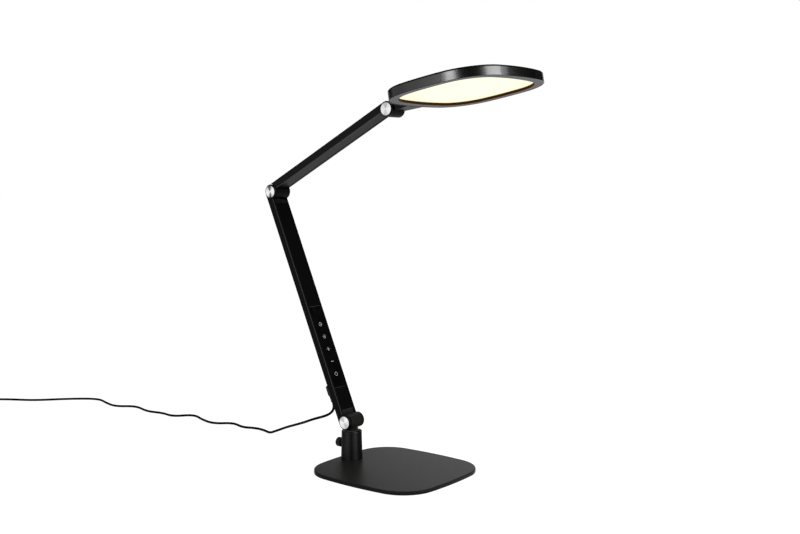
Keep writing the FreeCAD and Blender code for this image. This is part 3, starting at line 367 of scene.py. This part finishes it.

# Hinge caps: the reach of a face, a depth that all of a cap fits in, the tones from the rim inwards, the
# scale of the rings, and the tones of each painted fan of highlight and shade by share of a turn
CAP_REACH = 8.9 * MM
CAP_DEPTH = 1.0
CAP_RIM = ((0.0, 0.02), (0.09, 0.02), (0.13, 1.0))
CAP_RINGS = 700.0
CAP_PAINTED_FANS = {
    "lower": ((0.0, 0.85), (0.14, 0.42), (0.3, 0.8), (0.36, 0.95), (0.5, 0.7), (0.64, 0.44), (0.8, 0.75),
              (1.0, 0.85)),
    "elbow": ((0.0, 0.85), (0.11, 0.65), (0.18, 0.1), (0.26, 0.07), (0.32, 0.6), (0.4, 0.9), (0.55, 0.9),
              (0.66, 0.5), (0.72, 0.05), (0.76, 0.07), (0.82, 0.7), (0.9, 0.9)),
    "head": ((0.0, 0.78), (0.1, 0.7), (0.19, 0.38), (0.27, 0.38), (0.37, 0.75), (0.5, 0.88), (0.63, 0.75),
             (0.71, 0.48), (0.79, 0.48), (0.88, 0.78)),
}


def even(size):
    return (size, size, size)


def powder_coat(name, dark, light, grain, rough, **look):
    """Baked powder paint: a fine pebbled skin that scatters light."""
    made = Finish(name, **look)
    made.soften(0.5 * MM)
    made.vary_color(made.noise(even(grain * 2)), dark, light)
    made.vary_rough(made.noise(even(grain * 3)), rough - 0.06, rough + 0.06)
    made.relief(made.noise(even(grain)), 0.05 * MM, 0.6)
    return made


def base_paint():
    """Paint of the base, with more shine towards its far right corner."""
    made = powder_coat("base_paint", (0.007, 0.0072, 0.0068), (0.011, 0.0112, 0.0105), 0.45 * MM, 0.38,
                       ior=1.15)
    near_corner = Vector((-cos(BASE_LIT), -sin(BASE_LIT), 0)) * BASE_REACH
    across = made.gradient("LINEAR", even(BASE_REACH * 2), at=near_corner, spin=BASE_LIT)
    made.set("specular", made.ramp(across, *BASE_SHINE))
    return made.material


def post_paint():
    """Paint of the post, with upright streaks of shine."""
    made = powder_coat("post_paint", (0.0037, 0.0037, 0.0035), (0.0057, 0.0057, 0.0054), 0.3 * MM, 0.42,
                       ior=1.33)
    made.set("specular", made.ramp(made.gradient("RADIAL", even(1.0), at=POST_AXIS), *POST_FAN))
    return made.material


def neck_paint():
    made = powder_coat("neck_paint", (0.008, 0.008, 0.0076), (0.012, 0.012, 0.0114), 0.3 * MM, 0.5,
                       specular=0.3, ior=1.15)
    return made.material


def foam():
    made = Finish("pad_foam", specular=0.2, sheen=0.2)
    cells = made.noise(even(0.6 * MM), detail=4.0)
    made.vary_color(cells, (0.006, 0.006, 0.006), (0.03, 0.03, 0.03))
    made.vary_rough(cells, 0.75, 0.95)
    made.relief(cells, 0.15 * MM)
    return made.material


def anodised(name, turn, front=UP, specular=0.04):
    """Black anodised aluminium with fine lines drawn along the arm, and a painted highlight on its bevelled
    front edges.
    """
    made = Finish(name, specular=specular, brushed=0.3)
    made.soften(0.2 * MM)
    lines = made.noise((0.25 * MM, 0.25 * MM, 40 * MM), turn)
    painted_highlight_edge = (front - ACROSS).normalized()
    # Painted highlight: the colour turns pale where the surface faces the bevelled front edge
    made.vary_color(made.facing(painted_highlight_edge, 0.93, 0.98), (0.0012, 0.0013, 0.0012), (0.034, 0.035, 0.033))
    made.vary_rough(lines, 0.34, 0.46)
    made.relief(lines, 0.01 * MM, 0.5)
    return made.material


def arm_cover(name, along, specular):
    """Moulded cover strip, with a painted highlight on its lower edge at its seam."""
    made = Finish(name, specular=specular)
    made.soften(0.2 * MM)
    skin = made.noise(even(0.5 * MM), detail=3.0)
    # Painted highlight: the colour turns pale on the faces that look down the arm, at the seam
    made.vary_color(made.facing(-along, 0.3, 0.5), (0.0011, 0.0012, 0.0011), (0.08, 0.081, 0.079))
    made.vary_rough(skin, 0.37, 0.49)
    made.relief(skin, 0.03 * MM, 0.5)
    return made.material


def moulded(name, dark, light, rough, specular, grain=0.5 * MM):
    """Moulded plastic with a fine spark-eroded grain."""
    made = Finish(name, specular=specular)
    made.soften(0.3 * MM)
    skin = made.noise(even(grain), detail=3.0)
    made.vary_color(made.noise(even(grain * 12)), dark, light)
    made.vary_rough(skin, rough - 0.05, rough + 0.07)
    made.relief(skin, 0.03 * MM, 0.5)
    return made.material


def touch_panel():
    """Glossy touch panel with faint smudges, and a painted highlight on its lower edge."""
    made = Finish("panel_black", specular=0.04)
    made.soften(0.2 * MM)
    smudge = made.noise((9 * MM, 9 * MM, 16 * MM), LOWER_TURN, detail=4.0)
    # Painted highlight: the colour turns pale on the faces that look down the arm, at the seam
    made.vary_color(made.facing(-LOWER_ALONG, 0.3, 0.5), (0.0011, 0.0012, 0.0011), (0.07, 0.071, 0.069))
    made.vary_rough(smudge, 0.2, 0.34)
    return made.material


def turned_cap(name, at, painted_tones):
    """A hinge cap of aluminium, faced on a lathe: fine rings, a painted fan of highlight and shade in its
    colour across them, and a dark rim.
    """
    made = Finish(name, metal=1.0, brushed=0.6)
    tangent = made.node("Tangent")
    tangent.direction_type = "RADIAL"
    tangent.axis = "Y"
    made.tree.links.new(tangent.outputs["Tangent"], made.shader.inputs["Tangent"])
    disc = made.gradient("SPHERICAL", (CAP_REACH, CAP_DEPTH, CAP_REACH), at=at)
    turned = made.node("Mapping", Vector=made.place(even(1.0), at=at), Rotation=(pi / 2, 0, 0))
    painted_fan = made.node("TexGradient", Vector=turned.outputs["Vector"])
    painted_fan.gradient_type = "RADIAL"
    # The colour is a painted fan of highlight and shade by angle, times the dark rim
    made.set("color", made.times(made.ramp(painted_fan.outputs["Fac"], *painted_tones), made.ramp(disc, *CAP_RIM)))
    rings = made.node("TexWave", Vector=made.place(even(1.0), at=at), Scale=CAP_RINGS, Distortion=0.4,
                      Detail=2.0)
    rings.wave_type = "RINGS"
    rings.rings_direction = "Y"
    made.vary_rough(rings.outputs["Fac"], 0.26, 0.36)
    made.relief(rings.outputs["Fac"], 0.003 * MM, 0.3)
    return made.material


def turned_steel():
    made = Finish("steel", color=(0.5, 0.5, 0.51), metal=1.0)
    marks = made.noise((0.2 * MM, 4 * MM, 0.2 * MM))
    made.vary_rough(marks, 0.25, 0.42)
    made.relief(marks, 0.01 * MM, 0.5)
    return made.material


def nylon():
    made = Finish("washer_nylon", specular=0.3)
    cloud = made.noise(even(1.5 * MM))
    made.vary_color(cloud, (0.03, 0.03, 0.03), (0.06, 0.06, 0.06))
    made.vary_rough(cloud, 0.4, 0.55)
    made.relief(made.noise(even(0.3 * MM)), 0.01 * MM, 0.5)
    return made.material


# The head's upward direction, its foot under the hinge, its height, and the spans over which its shine goes
HEAD_UP = Vector((sin(HEAD_TURN), 0, cos(HEAD_TURN)))
HEAD_DROP = 4.06 * MM
HEAD_FOOT = TIP - HEAD_UP * HEAD_DROP
HEAD_HEIGHT = 12.2 * MM
HEAD_LENGTH = 200 * MM
HEAD_WIDTH = 200 * MM

# Its shine by share of its height, of the length from the hinge, and of the width
SHINE_UP = ((0.0, 0.12), (0.06, 0.7), (0.78, 0.7), (0.87, 0.04), (0.96, 0.0))
SHINE_ALONG = ((0.0, 0.2), (0.33, 0.22), (0.5, 0.8), (0.62, 1.0))
SHINE_ACROSS = ((0.28, 1.0), (0.33, 0.8), (0.37, 0.3), (0.63, 0.3), (0.67, 0.8), (0.72, 1.0))


def head_lacquer():
    """Gloss black, drawn with fine level lines round the edge of the head, and satin on its top."""
    made = Finish("head_black")
    made.soften(0.5 * MM)
    lines = made.noise((60 * MM, 60 * MM, 0.22 * MM), HEAD_TURN)
    height = made.gradient("LINEAR", even(HEAD_HEIGHT), HEAD_TURN - pi / 2, HEAD_FOOT)
    along = made.gradient("LINEAR", even(HEAD_LENGTH), HEAD_TURN, HEAD_FOOT)
    across = made.gradient("LINEAR", even(HEAD_WIDTH), at=(0, -HEAD_WIDTH / 2, 0), spin=pi / 2)
    round_rim = made.times(made.ramp(along, *SHINE_ALONG), made.ramp(across, *SHINE_ACROSS))
    made.set("specular", made.times(made.ramp(height, *SHINE_UP), round_rim))
    made.vary_color(made.facing(HEAD_UP, 0.9, 0.98), (0.002, 0.0019, 0.0018), (0.015, 0.015, 0.0146))
    made.vary_rough(lines, 0.22, 0.3)
    made.relief(lines, 0.012 * MM, 0.5)
    return made.material


def bezel():
    """Satin black ring under the head, with an inner wall whose brown is painted warm light, over the real
    light that the diffuser casts on it.
    """
    made = Finish("bezel_black")
    made.soften(0.3 * MM)
    skin = made.noise(even(0.5 * MM), detail=3.0)
    under = made.facing(-HEAD_UP, 0.7, 0.97)
    # Painted warm light: the inner wall's colour is brown, while the underside keeps its own black
    made.vary_color(under, (0.04, 0.012, 0.0005), (0.008, 0.0076, 0.0068))
    made.set("specular", made.between(under, 0.02, 0.24))
    made.vary_rough(skin, 0.36, 0.48)
    made.relief(skin, 0.02 * MM, 0.4)
    return made.material


def diffuser():
    """Frosted sheet lit from behind, a little warmer towards its rim."""
    made = Finish("diffuser_lit", color=(0.12, 0.12, 0.11), specular=0.1, glow_strength=1.0)
    low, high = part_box("diffuser")
    half = (high - low) / 2
    rim = made.gradient("SPHERICAL", (half.x, half.y, half.x), HEAD_TURN, (low + high) / 2)
    made.vary_color(made.between(rim, 0.0, 1.0, 0.0, 0.35), (0.98, 0.88, 0.6), (0.98, 0.96, 0.74), "glow")
    frost = made.noise(even(0.4 * MM))
    made.vary_rough(frost, 0.5, 0.65)
    made.relief(frost, 0.01 * MM, 0.5)
    return made.material


def light_guide():
    made = Finish("guide_clear", color=(0.96, 0.97, 0.95), specular=0.5, clear=0.6)
    dots = made.node("TexVoronoi", Vector=made.place(even(1.6 * MM), HEAD_TURN), Scale=1.0, Randomness=0.0)
    made.vary_rough(made.between(dots.outputs["Distance"], 1.0, 0.0, 0.2, 0.4), 0.05, 0.6)
    return made.material


def white_sheet(name, dark, light, rough):
    """White film or paint with a faint mottle."""
    made = Finish(name, specular=0.4)
    mottle = made.noise(even(3 * MM))
    made.vary_color(mottle, dark, light)
    made.vary_rough(mottle, rough - 0.08, rough + 0.08)
    made.relief(made.noise(even(0.3 * MM)), 0.01 * MM, 0.4)
    return made.material


def rolled_sheet():
    """Bare rolled aluminium with rolling lines."""
    made = Finish("spreader_bare", color=(0.62, 0.62, 0.62), metal=1.0, brushed=0.4)
    lines = made.noise((50 * MM, 0.3 * MM, 50 * MM), HEAD_TURN)
    made.vary_rough(lines, 0.28, 0.45)
    made.relief(lines, 0.008 * MM, 0.5)
    return made.material


def diode():
    """Yellow phosphor with a grainy surface."""
    made = Finish("diode_yellow", specular=0.4)
    grains = made.noise(even(0.2 * MM))
    made.vary_color(grains, (0.72, 0.5, 0.08), (0.9, 0.72, 0.2))
    made.vary_rough(grains, 0.3, 0.5)
    return made.material


def circuit_board():
    """Green lacquered board with paler tracks."""
    made = Finish("board_green", specular=0.4)
    tracks = made.node("TexBrick", Vector=made.place(even(4 * MM), LOWER_TURN), Scale=1.0)
    made.vary_color(tracks.outputs["Fac"], (0.012, 0.07, 0.025), (0.03, 0.16, 0.06))
    made.vary_rough(made.noise(even(2 * MM)), 0.25, 0.4)
    made.relief(tracks.outputs["Fac"], 0.02 * MM, 0.5)
    return made.material


def wire_jacket():
    """Jackets of the inner wires, red and black in turn."""
    made = Finish("wire_jacket", specular=0.3)
    made.vary_color(made.noise((1.2 * MM, 1.2 * MM, 120 * MM)), (0.012, 0.01, 0.01), (0.32, 0.02, 0.018))
    made.vary_rough(made.noise(even(1 * MM)), 0.35, 0.5)
    return made.material


def nickel():
    made = Finish("pin_nickel", color=(0.62, 0.6, 0.56), metal=1.0)
    marks = made.noise((0.15 * MM, 0.15 * MM, 3 * MM))
    made.vary_rough(marks, 0.14, 0.28)
    made.relief(marks, 0.006 * MM, 0.4)
    return made.material


def cord_jacket():
    """Satin jacket of the cord, with faint lengthwise mottle."""
    made = Finish("cord_black", specular=0.02)
    made.vary_color(made.noise(even(4 * MM)), (0.001, 0.001, 0.001), (0.002, 0.002, 0.002))
    skin = made.noise(even(0.5 * MM))
    made.vary_rough(skin, 0.4, 0.55)
    made.relief(skin, 0.02 * MM, 0.4)
    return made.material


def printed_white():
    """Pale ink of the touch symbols."""
    made = Finish("symbol_ink", specular=0.2)
    ink = made.noise(even(0.25 * MM))
    made.vary_color(ink, (0.34, 0.34, 0.33), (0.46, 0.46, 0.45))
    made.vary_rough(ink, 0.5, 0.65)
    return made.material


def dress(finish, *names):
    """Gives CAD nodes one finish."""
    for name in names:
        slots = nodes[name].data.materials
        slots.clear()
        slots.append(finish)


def dress_nodes():
    dress(base_paint(), "base_plate")
    dress(post_paint(), "post")
    dress(neck_paint(), "neck")
    dress(foam(), "base_pad")
    dress(anodised("arm_anodised_lower", LOWER_TURN, LOWER_FRONT), "lower_arm_channel")
    dress(anodised("arm_anodised_upper", UPPER_TURN, UPPER_FRONT, 0.07), "upper_arm_channel")
    dress(anodised("knuckle_anodised", UPPER_TURN), "elbow_knuckle", "head_knuckle")
    dress(arm_cover("arm_cover_lower", LOWER_ALONG, 0.02), "lower_arm_cover_low", "lower_arm_cover")
    dress(arm_cover("arm_cover_upper", UPPER_ALONG, 0.06), "upper_arm_cover")
    dress(moulded("arm_end", (0.0035, 0.0036, 0.0034), (0.0055, 0.0056, 0.0053), 0.48, 0.14),
          "lower_end_piece", "elbow_end_piece", "upper_end_piece")
    dress(touch_panel(), "control_panel")
    for name, at in (("lower", PIVOT), ("elbow", ELBOW), ("head", TIP)):
        dress(turned_cap(f"cap_silver_{name}", at, CAP_PAINTED_FANS[name]), f"{name}_pivot_caps")
    dress(turned_steel(), "post_screw", "thumb_stud", "elbow_knuckle_screws", "head_lug_pins",
          *(f"{name}_pivot_{piece}" for name in ("lower", "elbow", "head") for piece in ("sleeve", "screw")))
    dress(nylon(), "swivel_bushes", "swivel_washer", "lower_pivot_washers", "elbow_pivot_washers",
          "head_pivot_washers")
    dress(moulded("knob_black", (0.003, 0.003, 0.003), (0.006, 0.006, 0.006), 0.45, 0.12), "thumb_knob")
    dress(head_lacquer(), "head_housing")
    dress(bezel(), "head_bezel")
    dress(diffuser(), "diffuser")
    dress(light_guide(), "light_guide")
    dress(white_sheet("reflector_white", (0.78, 0.78, 0.77), (0.86, 0.86, 0.85), 0.6), "reflector")
    dress(white_sheet("strip_white", (0.7, 0.7, 0.68), (0.8, 0.8, 0.78), 0.4), "light_strip")
    dress(rolled_sheet(), "heat_spreader")
    dress(diode(), "light_diodes")
    dress(circuit_board(), "touch_board")
    dress(moulded("chip_black", (0.01, 0.01, 0.01), (0.02, 0.02, 0.02), 0.5, 0.3, 0.2 * MM), "touch_chips")
    dress(wire_jacket(), "lower_arm_wires", "upper_arm_wires")
    dress(moulded("socket_black", (0.006, 0.006, 0.006), (0.012, 0.012, 0.012), 0.4, 0.3), "dc_socket")
    dress(moulded("plug_black", (0.005, 0.005, 0.005), (0.009, 0.009, 0.009), 0.5, 0.2, 0.35 * MM),
          "dc_plug", "adapter_relief")
    dress(nickel(), "dc_plug_barrel", "adapter_pins")
    dress(moulded("tie_black", (0.006, 0.006, 0.006), (0.012, 0.012, 0.012), 0.4, 0.25), "cord_tie")
    dress(moulded("adapter_black", (0.008, 0.008, 0.008), (0.014, 0.014, 0.014), 0.5, 0.25, 0.6 * MM),
          "adapter_case")


# Touch symbols: their places along the lower arm from its foot hinge, and their sizes
SYMBOL_PLACES = {"timer": 134.0 * MM, "tone": 116.8 * MM, "brighter": 99.3 * MM, "dimmer": 82.1 * MM,
                 "power": 64.9 * MM}
SYMBOL_RADIUS = 2.4 * MM
SYMBOL_STROKE = 0.6 * MM
RING_STROKE = 0.48 * MM
SYMBOL_THICKNESS = 0.06 * MM
SUN_RAYS = 8
POWER_GAP = radians(35)
ARC_STEPS = 40
END_STEPS = 8


def arc_stroke(shape, radius, start=0.0, end=2 * pi):
    """A flat ring, or a piece of one, between two angles."""
    closed = end - start >= 2 * pi
    steps = ARC_STEPS if closed else ARC_STEPS + 1
    pairs = []
    for i in range(steps):
        angle = start + (end - start) * i / ARC_STEPS
        way = Vector((cos(angle), sin(angle), 0))
        pairs.append([shape.verts.new(way * (radius + side * RING_STROKE / 2)) for side in (-1, 1)])
    after = pairs[1:] + pairs[:1] if closed else pairs[1:]
    for (a, b), (c, d) in zip(pairs, after):
        shape.faces.new((a, b, d, c))


def bar_stroke(shape, start, end, width=SYMBOL_STROKE):
    """A flat bar with round ends."""
    start = Vector((*start, 0))
    end = Vector((*end, 0))
    turn = atan2(end.y - start.y, end.x - start.x)
    rim = []
    for middle, first in ((end, turn - pi / 2), (start, turn + pi / 2)):
        for i in range(END_STEPS + 1):
            angle = first + pi * i / END_STEPS
            rim.append(shape.verts.new(middle + Vector((cos(angle), sin(angle), 0)) * width / 2))
    shape.faces.new(rim)


def timer_symbol(shape):
    arc_stroke(shape, SYMBOL_RADIUS)
    bar_stroke(shape, (0, 0), (0, SYMBOL_RADIUS * 0.5))
    bar_stroke(shape, (0, 0), (SYMBOL_RADIUS * 0.4, -SYMBOL_RADIUS * 0.2))


def tone_symbol(shape):
    """A small sun: a ring with short rays."""
    arc_stroke(shape, SYMBOL_RADIUS * 0.4)
    for ray in range(SUN_RAYS):
        angle = 2 * pi * ray / SUN_RAYS
        way = (cos(angle), sin(angle))
        bar_stroke(shape, [SYMBOL_RADIUS * 0.8 * c for c in way], [SYMBOL_RADIUS * 1.1 * c for c in way],
                   SYMBOL_STROKE * 0.8)


def brighter_symbol(shape):
    bar_stroke(shape, (-SYMBOL_RADIUS, 0), (SYMBOL_RADIUS, 0))
    bar_stroke(shape, (0, -SYMBOL_RADIUS), (0, -SYMBOL_STROKE * 1.05))
    bar_stroke(shape, (0, SYMBOL_STROKE * 1.05), (0, SYMBOL_RADIUS))


def dimmer_symbol(shape):
    bar_stroke(shape, (-SYMBOL_RADIUS, 0), (SYMBOL_RADIUS, 0))


def power_symbol(shape):
    arc_stroke(shape, SYMBOL_RADIUS, pi / 2 + POWER_GAP, pi / 2 + 2 * pi - POWER_GAP)
    bar_stroke(shape, (0, SYMBOL_RADIUS * 0.2), (0, SYMBOL_RADIUS))


def raise_symbol(shape, draw, place):
    """Draws a symbol, gives it the ink's thickness and puts it in its place."""
    draw(shape)
    grown = bmesh.ops.extrude_face_region(shape, geom=shape.faces[:])
    lifted = [part for part in grown["geom"] if isinstance(part, bmesh.types.BMVert)]
    bmesh.ops.translate(shape, verts=lifted, vec=UP * SYMBOL_THICKNESS)
    bmesh.ops.transform(shape, matrix=place, verts=shape.verts)


def touch_symbols():
    depth = max((vertex.co - PIVOT).dot(LOWER_FRONT) for vertex in nodes["control_panel"].data.vertices)
    ink = printed_white()
    draws = {"timer": timer_symbol, "tone": tone_symbol, "brighter": brighter_symbol, "dimmer": dimmer_symbol,
             "power": power_symbol}
    turn = Matrix((ACROSS, LOWER_ALONG, LOWER_FRONT)).transposed().to_4x4()
    for name, along in SYMBOL_PLACES.items():
        middle = PIVOT + LOWER_ALONG * along + LOWER_FRONT * depth
        place = Matrix.Translation(middle) @ turn
        made = new_piece(f"symbol_{name}", lambda shape: raise_symbol(shape, draws[name], place))
        made.data.materials.append(ink)
        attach(made, "lower_arm")


# Studio: a white floor and world, and dark cloths that hang round the lamp, over spans in degrees from the
# side of -Y
FLOOR_REACH = 12.0
FLOOR_DROP = 0.2 * MM
FLOOR_GLOW = 0.96
FLOOR_SEEN = 0.16
FLOOR_PALE = 0.8
WORLD_LEVEL = 0.3
CLOTH_REACH = 3.5
CLOTH_HEIGHT = 4.5
CLOTH_SPANS = ((-120, -90), (12, 76), (130, 190))
CLOTH_STEPS = 12
CLOTH_COLOR = (0.02, 0.02, 0.02, 1.0)


def by_rays(tree, hidden, seen):
    """One value for rays that light the scene, and another for those from the camera, off gloss or glass."""
    rays = tree.nodes.new("ShaderNodeLightPath")
    total = rays.outputs["Is Camera Ray"]
    for word in ("Is Glossy Ray", "Is Transmission Ray"):
        either = tree.nodes.new("ShaderNodeMath")
        either.operation = "MAXIMUM"
        tree.links.new(total, either.inputs[0])
        tree.links.new(rays.outputs[word], either.inputs[1])
        total = either.outputs[0]
    scaled = tree.nodes.new("ShaderNodeMapRange")
    scaled.inputs["To Min"].default_value = hidden
    scaled.inputs["To Max"].default_value = seen
    tree.links.new(total, scaled.inputs["Value"])
    return scaled.outputs["Result"]


def bare_material(name):
    """A material with an empty surface, and its nodes."""
    made = bpy.data.materials.new(name)
    made.use_nodes = True
    made.node_tree.nodes.remove(made.node_tree.nodes["Principled BSDF"])
    return made, made.node_tree


def floor():
    """A pale floor that shows white and keeps a faint shadow."""
    def plane(shape):
        corners = [(FLOOR_REACH * x, FLOOR_REACH * y) for x, y in ((-1, -1), (1, -1), (1, 1), (-1, 1))]
        shape.faces.new([shape.verts.new((x, y, -FLOOR_DROP)) for x, y in corners])
    made = new_piece("floor", plane)
    look, tree = bare_material("floor_white")
    pale = tree.nodes.new("ShaderNodeBsdfDiffuse")
    tree.links.new(by_rays(tree, FLOOR_PALE, FLOOR_SEEN), pale.inputs["Color"])
    glow = tree.nodes.new("ShaderNodeEmission")
    tree.links.new(by_rays(tree, 0.0, FLOOR_GLOW), glow.inputs["Strength"])
    both = tree.nodes.new("ShaderNodeAddShader")
    tree.links.new(pale.outputs["BSDF"], both.inputs[0])
    tree.links.new(glow.outputs["Emission"], both.inputs[1])
    tree.links.new(both.outputs["Shader"], tree.nodes["Material Output"].inputs["Surface"])
    made.data.materials.append(look)


def dark_cloth():
    """Black cloths that only reflections find."""
    def drape(shape):
        for start, end in CLOTH_SPANS:
            rows = []
            for i in range(CLOTH_STEPS + 1):
                turn = radians(start + (end - start) * i / CLOTH_STEPS)
                foot = Vector((sin(turn), -cos(turn), 0)) * CLOTH_REACH
                rows.append([shape.verts.new(foot), shape.verts.new(foot + UP * CLOTH_HEIGHT)])
            for (a, b), (c, d) in zip(rows, rows[1:]):
                shape.faces.new((a, b, d, c))
    made = new_piece("dark_cloth", drape)
    look, tree = bare_material("cloth_black")
    weave = tree.nodes.new("ShaderNodeBsdfDiffuse")
    weave.inputs["Color"].default_value = CLOTH_COLOR
    tree.links.new(weave.outputs["BSDF"], tree.nodes["Material Output"].inputs["Surface"])
    made.data.materials.append(look)
    made.visible_camera = False
    made.visible_diffuse = False
    made.visible_transmission = False
    made.visible_shadow = False


def world():
    made = bpy.data.worlds.new("studio")
    made.use_nodes = True
    background = made.node_tree.nodes["Background"]
    background.inputs["Color"].default_value = (1.0, 1.0, 1.0, 1.0)
    made.node_tree.links.new(by_rays(made.node_tree, WORLD_LEVEL, 1.0), background.inputs["Strength"])
    bpy.context.scene.world = made


# Soft lamps: the point that each faces, the way to it from there, its distance, width, height and radiance
LAMPS = {
    "front_box": ((0.143, -0.086, 0.482), (-0.04, -0.98, 0.17), 1.6, 0.7, 0.8, 7.2),
    "side_box": ((0.179, -0.052, 0.489), (0.88, 0.32, 0.35), 1.5, 1.2, 0.8, 6.0),
    "top_box": ((0.0, 0.0, 0.0), (0.1, 0.2, 1.0), 2.2, 1.6, 1.6, 0.6),
}
POWER_PER_RADIANCE = 4


def softbox(name, target, way, distance, width, height, radiance):
    """A soft lamp that faces a point from some way off."""
    data = bpy.data.lights.new(name, "AREA")
    data.shape = "RECTANGLE"
    data.size = width
    data.size_y = height
    data.energy = POWER_PER_RADIANCE * radiance * width * height
    made = bpy.data.objects.new(name, data)
    way = Vector(way).normalized()
    made.location = Vector(target) + way * distance
    made.rotation_euler = way.to_track_quat("Z", "Y").to_euler()
    made.visible_camera = False
    bpy.context.collection.objects.link(made)


def lamps():
    for name, figures in LAMPS.items():
        softbox(name, *figures)


bpy.context.scene.view_settings.view_transform = "Standard"
camera()
cord()
dress_nodes()
touch_symbols()
floor()
dark_cloth()
world()
lamps()
